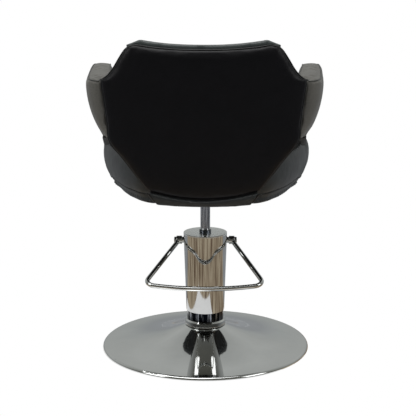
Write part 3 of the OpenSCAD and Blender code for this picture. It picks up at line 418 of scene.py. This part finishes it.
def on_skin(line, skin, proud):
    """The points of a line, each moved to the nearest place on a skin and raised by proud."""
    made = []
    for p in line:
        _, place, normal, _ = skin.closest_point_on_mesh(p)
        made.append(place + normal * proud)
    return made


def piping(name, line, radius, closed=True, fineness=2):
    """A cord or bar that follows a line: one corner drawn from point to point, then given its thickness."""
    bpy.ops.object.select_all(action="DESELECT")
    bpy.ops.mesh.primitive_plane_add(size=0.001, location=(0, 0, 0))
    piece = bpy.context.object
    piece.name = name
    bpy.ops.object.mode_set(mode="EDIT")
    bpy.ops.mesh.select_all(action="SELECT")
    bpy.ops.mesh.merge(type="CENTER")
    bpy.ops.transform.translate(value=line[0])
    for a, b in zip(line, line[1:]):
        bpy.ops.mesh.extrude_vertices_move(TRANSFORM_OT_translate={"value": b - a})
    bpy.ops.mesh.select_all(action="SELECT")
    if closed:
        bpy.ops.mesh.remove_doubles(threshold=PIPING_WELD)
    bpy.ops.mesh.vertices_smooth(factor=0.5, repeat=3)
    bpy.ops.object.mode_set(mode="OBJECT")
    bpy.ops.object.convert(target="CURVE")
    piece.data.bevel_depth = radius
    piece.data.bevel_resolution = fineness
    piece.data.use_fill_caps = not closed
    bpy.ops.object.convert(target="MESH")
    bpy.ops.object.shade_smooth()
    return bpy.context.object


def wear(piece, material, body="seat"):
    """Gives a piece its material and the body that it rides on."""
    piece.data.materials.clear()
    piece.data.materials.append(material)
    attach(piece, body)


def finish_pad(piece, material, stands_for):
    """Last steps of a padded piece: smooth light, material, and the node it stands for hidden."""
    only(piece)
    bpy.ops.object.shade_smooth()
    wear(piece, material)
    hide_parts(stands_for)


def mirrored(piece, name):
    """The same piece for the other side of the chair."""
    twin = bpy.data.objects.new(name, piece.data.copy())
    scene.collection.objects.link(twin)
    only(twin)
    bpy.ops.object.mode_set(mode="EDIT")
    bpy.ops.mesh.select_all(action="SELECT")
    bpy.ops.transform.resize(value=(-1, 1, 1), center_override=(0, 0, 0))
    bpy.ops.mesh.normals_make_consistent(inside=False)
    bpy.ops.object.mode_set(mode="OBJECT")
    return twin


# Outlines of the chair, in metres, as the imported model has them

def mix(a, b, t):
    """The value a share t of the way from a to b."""
    return a + (b - a) * t


def read(x, table):
    """Straight-line value from a table of x and value."""
    return float(np.interp(x, [p[0] for p in table], [p[1] for p in table]))


SEAT_LOW, BOX_HEIGHT, BOX_ROUND, BOX_TUCK = 0.470, 0.128, 0.014, 0.032
BOX_HALF, BOX_REAR, BOX_FRONT, BOX_MID = 0.308, 0.452, 0.095, 0.185
BOX_SIDE_POWER, BOX_REAR_POWER, BOX_FRONT_POWER = 0.603, 1.503, 0.77
ARM_TOP, ARM_LOW, ARM_REAR, ARM_FRONT = 0.802, 0.640, 0.227, 0.250
ARM_HALF, ARM_DRAW, ARM_ROUND = 0.337, 0.058, 0.012
ARM_INNER, ARM_SPLAY = 0.259, math.tan(math.radians(5.7))
BACK_TOP, SHIELD_LOW, BACK_REAR = 0.898, 0.508, 0.267
BACK_LEAN, BACK_BEND = math.tan(math.radians(4.3)), 1.020
BACK_THICK, SOFT_GAP = 0.0287, 0.0003  # Shield and board together, and the gap before the next piece
LOW_HALF, WAIST_HALF, ARM_TOP_HALF, TOP_HALF = 0.145, 0.249, 0.267, 0.174
TOP_DIP, DIP_POWER, LOW_SAG, SHIELD_EDGE, SEAM = 0.011, 2.5, 0.022, 0.012, 0.0015
STRIP_RISE, STRIP_DRAW = 0.005, 0.020
# Shares of a width or draw, by the share of the height or length
FLANK = [(0, 0), (0.1, 0.12), (0.4, 0.42), (0.7, 0.71), (1, 1)]
CORNER = [(0, 0), (0.07, 0.08), (0.16, 0.19), (0.32, 0.33), (0.5, 0.445), (0.68, 0.56), (0.84, 0.67),
          (0.94, 0.78), (1, 1)]
ARM_SIDE = [(0, 1), (0.01, 0.83), (0.03, 0.69), (0.065, 0.57), (0.14, 0.44), (0.22, 0.353), (0.37, 0.233),
            (0.53, 0.138), (0.73, 0.035), (0.86, 0), (0.93, 0.01), (0.97, 0.06), (0.99, 0.2), (1, 0.38)]
ARM_END = [(0, 0.3), (0.01, 0.1), (0.03, 0), (0.93, 0), (0.97, 0.12), (0.99, 0.45), (1, 1)]
ARM_STEP = [(0, 0), (0.065, 0), (0.105, 0.75), (0.13, 1)]


def rear_face(x, z):
    """Depth of the back's rear face, which leans with its height and bends round the sitter."""
    return BACK_REAR + BACK_LEAN * (z - SHIELD_LOW) - x * x / (2 * BACK_BEND)


def back_half(z):
    """Half width of the back at a height."""
    if z < ARM_LOW:
        return mix(LOW_HALF, WAIST_HALF, read((z - SHIELD_LOW) / (ARM_LOW - SHIELD_LOW), FLANK))
    if z < ARM_TOP:
        return mix(WAIST_HALF, ARM_TOP_HALF, (z - ARM_LOW) / (ARM_TOP - ARM_LOW))
    return mix(ARM_TOP_HALF, TOP_HALF, read((z - ARM_TOP) / (BACK_TOP - ARM_TOP), CORNER))


def back_point(u, z, depth):
    """A point of the back: a share of its half width, a height, and a depth from the rear face."""
    x = u * back_half(z)
    drop = 0.0
    if z > ARM_TOP:
        drop = TOP_DIP * (z - ARM_TOP) / (BACK_TOP - ARM_TOP) * (1 - abs(u) ** DIP_POWER)
    elif z < ARM_LOW:
        drop = LOW_SAG * (ARM_LOW - z) / (ARM_LOW - SHIELD_LOW) * (1 - u * u)
    return Vector((x, rear_face(x, z) - depth, z - drop))


def arm_point(y, outer, inset):
    """A point of the left arm's top edge, outer or inner, in from the edge by an inset."""
    share = (ARM_REAR - y) / (ARM_REAR + ARM_FRONT)
    low = ARM_ROUND * read(share, ARM_END)
    if outer:
        x = ARM_HALF - ARM_DRAW * read(share, ARM_SIDE) - inset
    else:
        x = mix(ARM_TOP_HALF + SEAM, ARM_INNER - ARM_SPLAY * y, read(share, ARM_STEP)) + inset
    return Vector((x, y, ARM_TOP - low))


def box_point(turn, z, inset, tuck):
    """A point of the seat box's outline at a height, by its turn round the chair."""
    c, s = math.cos(turn), math.sin(turn)
    if s > 0:
        y = (BOX_REAR - inset) * s ** BOX_REAR_POWER - BOX_MID
    else:
        y = (inset - BOX_FRONT) * abs(s) ** BOX_FRONT_POWER - BOX_MID
    x = (BOX_HALF - inset - tuck) * math.copysign(abs(c) ** BOX_SIDE_POWER, c)
    wall = rear_face(x, z) - BACK_THICK - SOFT_GAP - inset
    return Vector((x, min(y, wall), z))


# Steps between the points of a piped line, and of a short one
LINE_STEP, SHORT_STEP = 0.006, 0.004
# The chair's sides: the sign of x, and the word in a piece's name
TWO_SIDES = ((1, "left"), (-1, "right"))

# Shield panel of the back: taut over thin foam, resting on the board in front of it
SHIELD_FOAM, SHIELD_PUFF = 0.0185, 0.0025


def shield_cap(p):
    """How far the shield may swell at a place: nowhere near the board that it lies on."""
    return 0.0 if rear_face(p.x, p.z) - p.y > SHIELD_FOAM else SHIELD_PUFF


shield = pad_skin("back_shield", "shield_panel", cells=0.005, cap=shield_cap)
top_line = [back_point(u / 20, BACK_TOP, SHIELD_EDGE) for u in range(20, -21, -1)]
left_line = [back_point(-1, mix(BACK_TOP, SHIELD_LOW, k / 60), SHIELD_EDGE) for k in range(1, 60)]
low_line = [back_point(u / 20, SHIELD_LOW, SHIELD_EDGE) for u in range(-20, 21)]
right_line = [back_point(1, mix(SHIELD_LOW, BACK_TOP, k / 60), SHIELD_EDGE) for k in range(1, 61)]
shield_line = between(top_line + left_line + low_line + right_line, LINE_STEP)
sink(shield, on_skin(shield_line, shield, proud=0), depth=0.0015, width=0.008)
finish_pad(shield, black_leatherette, "back_shield")
shield_piping = piping("shield_piping", on_skin(shield_line, shield, proud=0.0008), radius=0.0022)
wear(shield_piping, piping_vinyl)

# Back cushion: crowned towards the sitter, its top showing above the shield
BACK_PAD_DEPTH, BACK_PUFF, BACK_EDGE_PUFF = 0.04, 0.006, 0.001
CROWN_HEIGHT, CROWN_SHARE = 0.011, 0.085


def back_cap(p):
    """How far the back cushion may swell at a place: most on the sitter's side."""
    return BACK_PUFF if rear_face(p.x, p.z) - p.y > BACK_PAD_DEPTH else BACK_EDGE_PUFF


back_pad = smooth_copy("back_cushion", "back_pad", cells=0.006)
# The crown fills out towards its corners, as foam does under a drawn cover
places = corners_of(back_pad)
fuller = np.clip((places[:, 2] - BACK_TOP + CROWN_HEIGHT) / CROWN_HEIGHT, 0, 1)
places[:, 0] *= 1 + CROWN_SHARE * fuller * fuller * (3 - 2 * fuller)
move_corners(back_pad, places)
inflate(back_pad, back_cap)
apply_modifier(back_pad, "SUBSURF", levels=1, render_levels=1)
finish_pad(back_pad, crown_leatherette, "back_cushion")

# Strip under the shield, drawn tight and not padded out
strip = pad_skin("back_strip", "low_strip", cells=0.004)
finish_pad(strip, dark_leatherette, "back_strip")

# Black welts at the strip's ends, where it meets the seat box
WELT_R, WELT_PROUD, WELT_DEPTH = 0.0032, 0.0012, 0.004
for side, word in TWO_SIDES:
    ends = []
    for k in range(11):
        z = mix(SHIELD_LOW - 0.001, SEAT_LOW + 2 * STRIP_RISE, k / 10)
        x = LOW_HALF - STRIP_DRAW * k / 10 + WELT_PROUD
        y = rear_face(x, z) - WELT_DEPTH - WELT_DEPTH * (k / 10) ** 2
        ends.append(Vector((side * x, y, z)))
    welt = piping("strip_welt_" + word, between(ends, SHORT_STEP), WELT_R, closed=False)
    wear(welt, piping_vinyl)

# Seat box: foam over its frame, with a sewn and piped seam round its lower edge
SEAM_SHARE = 0.19  # Height of the seam, and how far the sides have drawn in there
ROUND_SHARE = 0.7  # How far the box's lower rounding has drawn the seam in
BOX_SIDES, BOX_PUFF = (0.48, 0.59), 0.003
TONGUE_SLOTS = ((0.262, 0.304), (-0.1915, -0.0985), (0.53, 0.5979))


def in_tongue_slots(p):
    """Whether a place lies in the slots under the arms, which take the boards' tongues."""
    across, along, up = TONGUE_SLOTS
    return across[0] < abs(p.x) < across[1] and along[0] < p.y < along[1] and up[0] < p.z < up[1]


def box_cap(p):
    """How far the box's cover may swell at a place: only on its sides."""
    return BOX_PUFF if BOX_SIDES[0] < p.z < BOX_SIDES[1] else 0.0


box = pad_skin("seat_box", "seat_box_cover", cells=0.006, cap=box_cap, slots=in_tongue_slots)
box_line = [box_point(2 * math.pi * k / 180, SEAT_LOW + SEAM_SHARE * BOX_HEIGHT, ROUND_SHARE * BOX_ROUND,
                      SEAM_SHARE * BOX_TUCK) for k in range(181)]
box_line = between(box_line, LINE_STEP)
sink(box, on_skin(box_line, box, proud=0), depth=0.002, width=0.009)
finish_pad(box, dark_leatherette, "seat_box")
box_piping = piping("seat_box_piping", on_skin(box_line, box, proud=0.0006), radius=0.0022)
wear(box_piping, piping_vinyl)

# Seat cushion: free to swell above the seam round its lower edge
CUSHION_SEAM, CUSHION_PUFF = 0.602, 0.006
seat_pad = pad_skin("seat_cushion", "seat_pad", cells=0.006, rounds=1,
                    cap=lambda p: CUSHION_PUFF if p.z > CUSHION_SEAM else 0.0)
finish_pad(seat_pad, dark_leatherette, "seat_cushion")

# Planes that trim the arm boards, each a place on it and its outward side: at the box's top, in front, at the
# lower rear corner, and just inside the pads' outer faces
BOX_TOP_CUT = ((0, 0, 0.5965), (0, 0, -1))
FRONT_CUT = ((0, -0.208, 0.600), (0, -0.055, 0.025))
REAR_CUT = ((0, 0.035, 0.598), (0, 0.042, -0.131))
SIDE_CUTS = {side: ((side * 0.2848, 0, 0), (side, 0.0733, 0)) for side in (1, -1)}
# What of a board fills its slot in the pad starts a little above the pad's lower edge
FILLING_CUT = ((0, 0, ARM_LOW + 0.004), (0, 0, -1))

# Arms: one cover over outer face, top and ends, piped round the top
ARM_PUFF = 0.003
filling = trimmed("arm_board_left", "filling", FILLING_CUT, SIDE_CUTS[1])
arm = pad_skin("arm_pad_left", "arm_cover_left", cells=0.005, cap=lambda p: ARM_PUFF, filling=filling)
ys = [ARM_REAR - (ARM_REAR + ARM_FRONT) * k / 60 for k in range(61)]
arm_loop = ([arm_point(y, outer=True, inset=0.002) for y in ys]
            + [arm_point(y, outer=False, inset=0.003) for y in reversed(ys)])
arm_line = between(arm_loop + [arm_loop[0]], LINE_STEP)
sink(arm, on_skin(arm_line, arm, proud=0), depth=0.001, width=0.007)
finish_pad(arm, grey_leatherette, "arm_pad_left")
arm_right = mirrored(arm, "arm_cover_right")
finish_pad(arm_right, grey_leatherette, "arm_pad_right")
arm_piping = piping("arm_piping_left", on_skin(arm_line, arm, proud=0.0005), radius=0.0018)
wear(arm_piping, arm_piping_vinyl)
arm_piping_right = mirrored(arm_piping, "arm_piping_right")
wear(arm_piping_right, arm_piping_vinyl)

# Linings on the inner sides of the arms
lining = pad_skin("arm_lining_left", "lining_left", cells=0.005, cap=lambda p: ARM_PUFF)
finish_pad(lining, dark_leatherette, "arm_lining_left")
lining_right = mirrored(lining, "lining_right")
finish_pad(lining_right, dark_leatherette, "arm_lining_right")

# Steep edges are broken by a fine bevel
EDGE_BEVEL = {"width": 0.0008, "limit_method": "ANGLE", "angle_limit": math.radians(40)}

# Arm boards: boards stained black that rise out of the upholstery, their black also painted shade in the
# recess under the arms
for side, word in TWO_SIDES:
    board = trimmed("arm_board_" + word, "arm_panel_" + word,
                    BOX_TOP_CUT, FRONT_CUT, REAR_CUT, SIDE_CUTS[side])
    apply_modifier(board, "BEVEL", segments=2, **EDGE_BEVEL)
    bpy.ops.object.shade_smooth_by_angle(angle=math.radians(35))
    wear(board, black_board)
    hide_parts("arm_board_" + word)

# Stirrup: one round bar, bent at two corners and bowed between them, with a sleeve on the shaft at each end
SHAFT_Y, SHAFT_Z, PEDAL_SLOPE = -0.030, 0.309, math.radians(22.2)
LEG_X, BEND_X, BEND_REACH, BEND_R, BOW_R = 0.076, 0.136, 0.192, 0.022, 0.738
BAR_R, BAR_START, SLEEVE_R, SLEEVE_WALL, SLEEVE_LONG = 0.0065, 0.0102, 0.012, 0.0029, 0.016
BOW_CENTRE = BEND_REACH - math.sqrt((BOW_R - BEND_R) ** 2 - BEND_X ** 2)
BOW_TURN = math.degrees(math.atan2(BEND_X, BEND_REACH - BOW_CENTRE))
LEG_TURN = math.degrees(math.atan2(BEND_X - LEG_X, BEND_REACH)
                        + math.asin(BEND_R / math.hypot(BEND_X - LEG_X, BEND_REACH)))


def arc(centre, radius, start, end, count):
    """Points on an arc in the stirrup's plane, across the chair and out from the shaft."""
    turns = [math.radians(mix(start, end, k / count)) for k in range(count + 1)]
    return [(centre[0] + radius * math.cos(t), centre[1] + radius * math.sin(t)) for t in turns]


half_route = ([(LEG_X + BAR_START * math.tan(math.radians(LEG_TURN)), BAR_START)]
              + arc((BEND_X, BEND_REACH), BEND_R, -LEG_TURN, 90 - BOW_TURN, 16)
              + arc((0, BOW_CENTRE), BOW_R, 90 - BOW_TURN, 90, 8)[1:])
route = half_route + [(-x, out) for x, out in reversed(half_route[:-1])]
route = [Vector((x, SHAFT_Y + out * math.cos(PEDAL_SLOPE), SHAFT_Z - out * math.sin(PEDAL_SLOPE)))
         for x, out in route]
stirrup = piping("stirrup_bar", between(route, SHORT_STEP), BAR_R, closed=False, fineness=8)
sleeves = []
for side, _ in TWO_SIDES:
    bpy.ops.object.select_all(action="DESELECT")
    bpy.ops.mesh.primitive_cylinder_add(
        vertices=48, radius=SLEEVE_R, depth=SLEEVE_LONG, end_fill_type="NOTHING",
        location=(side * LEG_X, SHAFT_Y, SHAFT_Z), rotation=(0, math.pi / 2, 0))
    sleeve = bpy.context.object
    apply_modifier(sleeve, "SOLIDIFY", thickness=SLEEVE_WALL, offset=-1)
    apply_modifier(sleeve, "BEVEL", segments=3, **EDGE_BEVEL)
    bpy.ops.object.transform_apply()
    bpy.ops.object.shade_smooth_by_angle(angle=math.radians(30))
    sleeves.append(sleeve)
only(stirrup)
for sleeve in sleeves:
    sleeve.select_set(True)
bpy.ops.object.join()
wear(stirrup, chrome, "pedal")
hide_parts("pedal_stirrup")

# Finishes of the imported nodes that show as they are
NODE_MATERIALS = {
    "ram_rod": rod_painted_reflection, "rod_wiper": wiper_steel, "oil_tank": tank_painted_reflection, "cover_cap": lid_chrome,
}
slots = {part["node"]: part["material_slot"] for part in frame["record"]["subparts"]}
for name, node in nodes.items():
    if not node.hide_render:
        node.data.materials.clear()
        node.data.materials.append(NODE_MATERIALS.get(name) or SLOT_MATERIALS[slots[name]])

# Stage: a plain pale floor and a white ground, seen by the camera and in metal
def seen_ray(tree):
    """One for the rays of the camera, mirrors and glass, and nothing for those that only light."""
    path = add(tree, "ShaderNodeLightPath")
    seen = path.outputs["Is Camera Ray"]
    for ray in ("Is Glossy Ray", "Is Transmission Ray"):
        seen = add(tree, "ShaderNodeMath", links={0: seen, 1: path.outputs[ray]},
                   operation="MAXIMUM").outputs[0]
    return seen


FLOOR_R, BOARDS_R, TENT_R = 14, 5.95, 6
bpy.ops.object.select_all(action="DESELECT")
bpy.ops.mesh.primitive_circle_add(vertices=96, radius=FLOOR_R, fill_type="NGON", location=(0, 0, 0))
floor = bpy.context.object
floor.name = "floor"
floor_paint, tree = new_material("pale_floor")
seen = seen_ray(tree)
matt = add(tree, "ShaderNodeBsdfDiffuse", {"Color": linear("e4e4e2")})
glow = add(tree, "ShaderNodeEmission", {"Color": linear("ffffff"), "Strength": 1.0})
both = add(tree, "ShaderNodeMixShader", links={0: seen, 1: matt.outputs[0], 2: glow.outputs[0]})
add(tree, "ShaderNodeOutputMaterial", links={"Surface": both.outputs[0]})
floor.data.materials.append(floor_paint)

world = bpy.data.worlds.new("studio")
scene.world = world
world.use_nodes = True
tree = world.node_tree
tree.nodes.clear()
seen = seen_ray(tree)
soft = add(tree, "ShaderNodeBackground", {"Color": linear("f4f6f8"), "Strength": 0.45})
white = add(tree, "ShaderNodeBackground", {"Color": linear("ffffff"), "Strength": 1.0})
both = add(tree, "ShaderNodeMixShader", links={0: seen, 1: soft.outputs[0], 2: white.outputs[0]})
add(tree, "ShaderNodeOutputWorld", links={"Surface": both.outputs[0]})


# Cards of the studio: a tent of cloth, and the floor round the white sheet
def only_in_reflections(card):
    """A card that only mirrors see."""
    card.visible_camera = False
    card.visible_diffuse = False
    card.visible_shadow = False
    card.visible_transmission = False


bpy.ops.object.select_all(action="DESELECT")
bpy.ops.mesh.primitive_uv_sphere_add(segments=48, ring_count=32, radius=TENT_R, location=(0, 0, 0))
tent = bpy.context.object
tent.name = "tent"
bpy.ops.object.mode_set(mode="EDIT")
bpy.ops.mesh.select_all(action="SELECT")
bpy.ops.mesh.bisect(plane_co=(0, 0, 0.01), plane_no=(0, 0, 1), clear_inner=True)
bpy.ops.object.mode_set(mode="OBJECT")


def ramp_of(tree, value, stops):
    """Colours read off a scale, from a table of place and hex colour."""
    ramp = add(tree, "ShaderNodeValToRGB", links={"Fac": value})
    marks = ramp.color_ramp.elements
    for mark, (position, code) in zip(marks, stops[:2]):
        mark.position, mark.color = position, linear(code)
    for position, code in stops[2:]:
        marks.new(position).color = linear(code)
    return ramp.outputs["Color"]


def glowing(card, tree, colour):
    """A card that glows by itself in the colour given."""
    glow = add(tree, "ShaderNodeEmission", {"Strength": 1.0}, {"Color": colour})
    add(tree, "ShaderNodeOutputMaterial", links={"Surface": glow.outputs[0]})
    only_in_reflections(card)


# Tent: pale beyond the chair, dark on the camera's side
tent_paint, tree = new_material("tent_cloth")
place = add(tree, "ShaderNodeTexCoord").outputs["Object"]
place = add(tree, "ShaderNodeSeparateXYZ", links={"Vector": place})
share = add(tree, "ShaderNodeMath", {1: TENT_R}, {0: place.outputs["Z"]}, operation="DIVIDE").outputs[0]
pale = ramp_of(tree, share, ((0.0, "989b9e"), (0.12, "9b9ea0"), (0.24, "acafae"), (0.36, "b4b6b4"),
                             (0.52, "bcbebc"), (0.9, "a8aaa8")))
dark = ramp_of(tree, share, ((0.0, "3c3d3e"), (0.3, "55564f"), (0.5, "6b6b64"), (0.8, "73736e"),
                             (1.0, "8c8e8e")))
beyond = add(tree, "ShaderNodeMapRange", {"From Min": 3.0, "From Max": -3.6}, {"Value": place.outputs["Y"]},
             interpolation_type="SMOOTHSTEP").outputs["Result"]
cloth = add(tree, "ShaderNodeMix", links={"Factor": beyond, "A": dark, "B": pale},
            data_type="RGBA").outputs["Result"]
tent.data.materials.append(tent_paint)
glowing(tent, tree, cloth)

# Floor round the white sheet under the chair: brown boards on the camera's side, dark far out, pale behind
SHEET = (-0.22, 0.36, -0.3, 0.46)  # Left, right, far and near edges
bpy.ops.object.select_all(action="DESELECT")
bpy.ops.mesh.primitive_circle_add(vertices=96, radius=BOARDS_R, fill_type="NGON", location=(0, 0, 0.001))
boards = bpy.context.object
boards.name = "brown_floor_boards"
bpy.ops.object.mode_set(mode="EDIT")
for edge, across in zip(SHEET, ((1, 0, 0), (1, 0, 0), (0, 1, 0), (0, 1, 0))):
    bpy.ops.mesh.select_all(action="SELECT")
    bpy.ops.mesh.bisect(plane_co=(edge * across[0], edge * across[1], 0), plane_no=across)
bpy.ops.mesh.select_all(action="DESELECT")
bpy.ops.object.mode_set(mode="OBJECT")
for face in boards.data.polygons:
    at = face.center
    face.select = SHEET[0] < at.x < SHEET[1] and SHEET[2] < at.y < SHEET[3]
bpy.ops.object.mode_set(mode="EDIT")
bpy.ops.mesh.delete(type="FACE")
bpy.ops.object.mode_set(mode="OBJECT")
boards_paint, tree = new_material("brown_floor_boards")
place = add(tree, "ShaderNodeTexCoord").outputs["Object"]
depth = add(tree, "ShaderNodeSeparateXYZ", links={"Vector": place}).outputs["Y"]
far = add(tree, "ShaderNodeVectorMath", links={0: place}, operation="LENGTH").outputs["Value"]
turn = add(tree, "ShaderNodeVectorMath", links={0: place}, operation="NORMALIZE").outputs["Vector"]
slow = add(tree, "ShaderNodeVectorMath", {"Scale": 0.35}, {0: place}, operation="SCALE").outputs["Vector"]
drawn = add(tree, "ShaderNodeVectorMath", links={0: turn, 1: slow}, operation="ADD").outputs["Vector"]
# Joints of the boards, drawn as streaks that run away from the chair
streaks = add(tree, "ShaderNodeTexNoise", {"Scale": 5.0, "Detail": 3, "Roughness": 0.55},
              {"Vector": drawn}).outputs["Fac"]
brown = ramp_of(tree, streaks, ((0.36, "6b5847"), (0.5, "a5957f"), (0.64, "c8bba3")))
night = ramp_of(tree, streaks, ((0.4, "383a3d"), (0.62, "a2a4a8")))
far_out = add(tree, "ShaderNodeMapRange", {"From Min": 1.32, "From Max": 1.4},
              {"Value": far}).outputs["Result"]
near = add(tree, "ShaderNodeMix", links={"Factor": far_out, "A": brown, "B": night},
           data_type="RGBA").outputs["Result"]
behind = add(tree, "ShaderNodeMapRange", {"From Min": -0.26, "From Max": -0.4},
             {"Value": depth}).outputs["Result"]
shade = add(tree, "ShaderNodeMix", {"B": linear("9a9da0")}, {"Factor": behind, "A": near},
            data_type="RGBA").outputs["Result"]
boards.data.materials.append(boards_paint)
glowing(boards, tree, shade)


def soft_light(name, place, aim, size, power):
    """A square soft box that shines from a place towards a point."""
    turn = (Vector(aim) - Vector(place)).to_track_quat("-Z", "Y").to_euler()
    bpy.ops.object.light_add(type="AREA", location=place, rotation=turn)
    lamp = bpy.context.object
    lamp.name = name
    lamp.data.size = size
    lamp.data.energy = power


soft_light("top_box", (0.3, 0.3, 3.4), (0, 0, 0.5), size=2.4, power=60)
soft_light("left_box", (2.6, 1.6, 2.0), (0, 0, 0.6), size=1.4, power=18)
soft_light("right_box", (-2.6, 1.6, 2.0), (0, 0, 0.6), size=1.4, power=18)
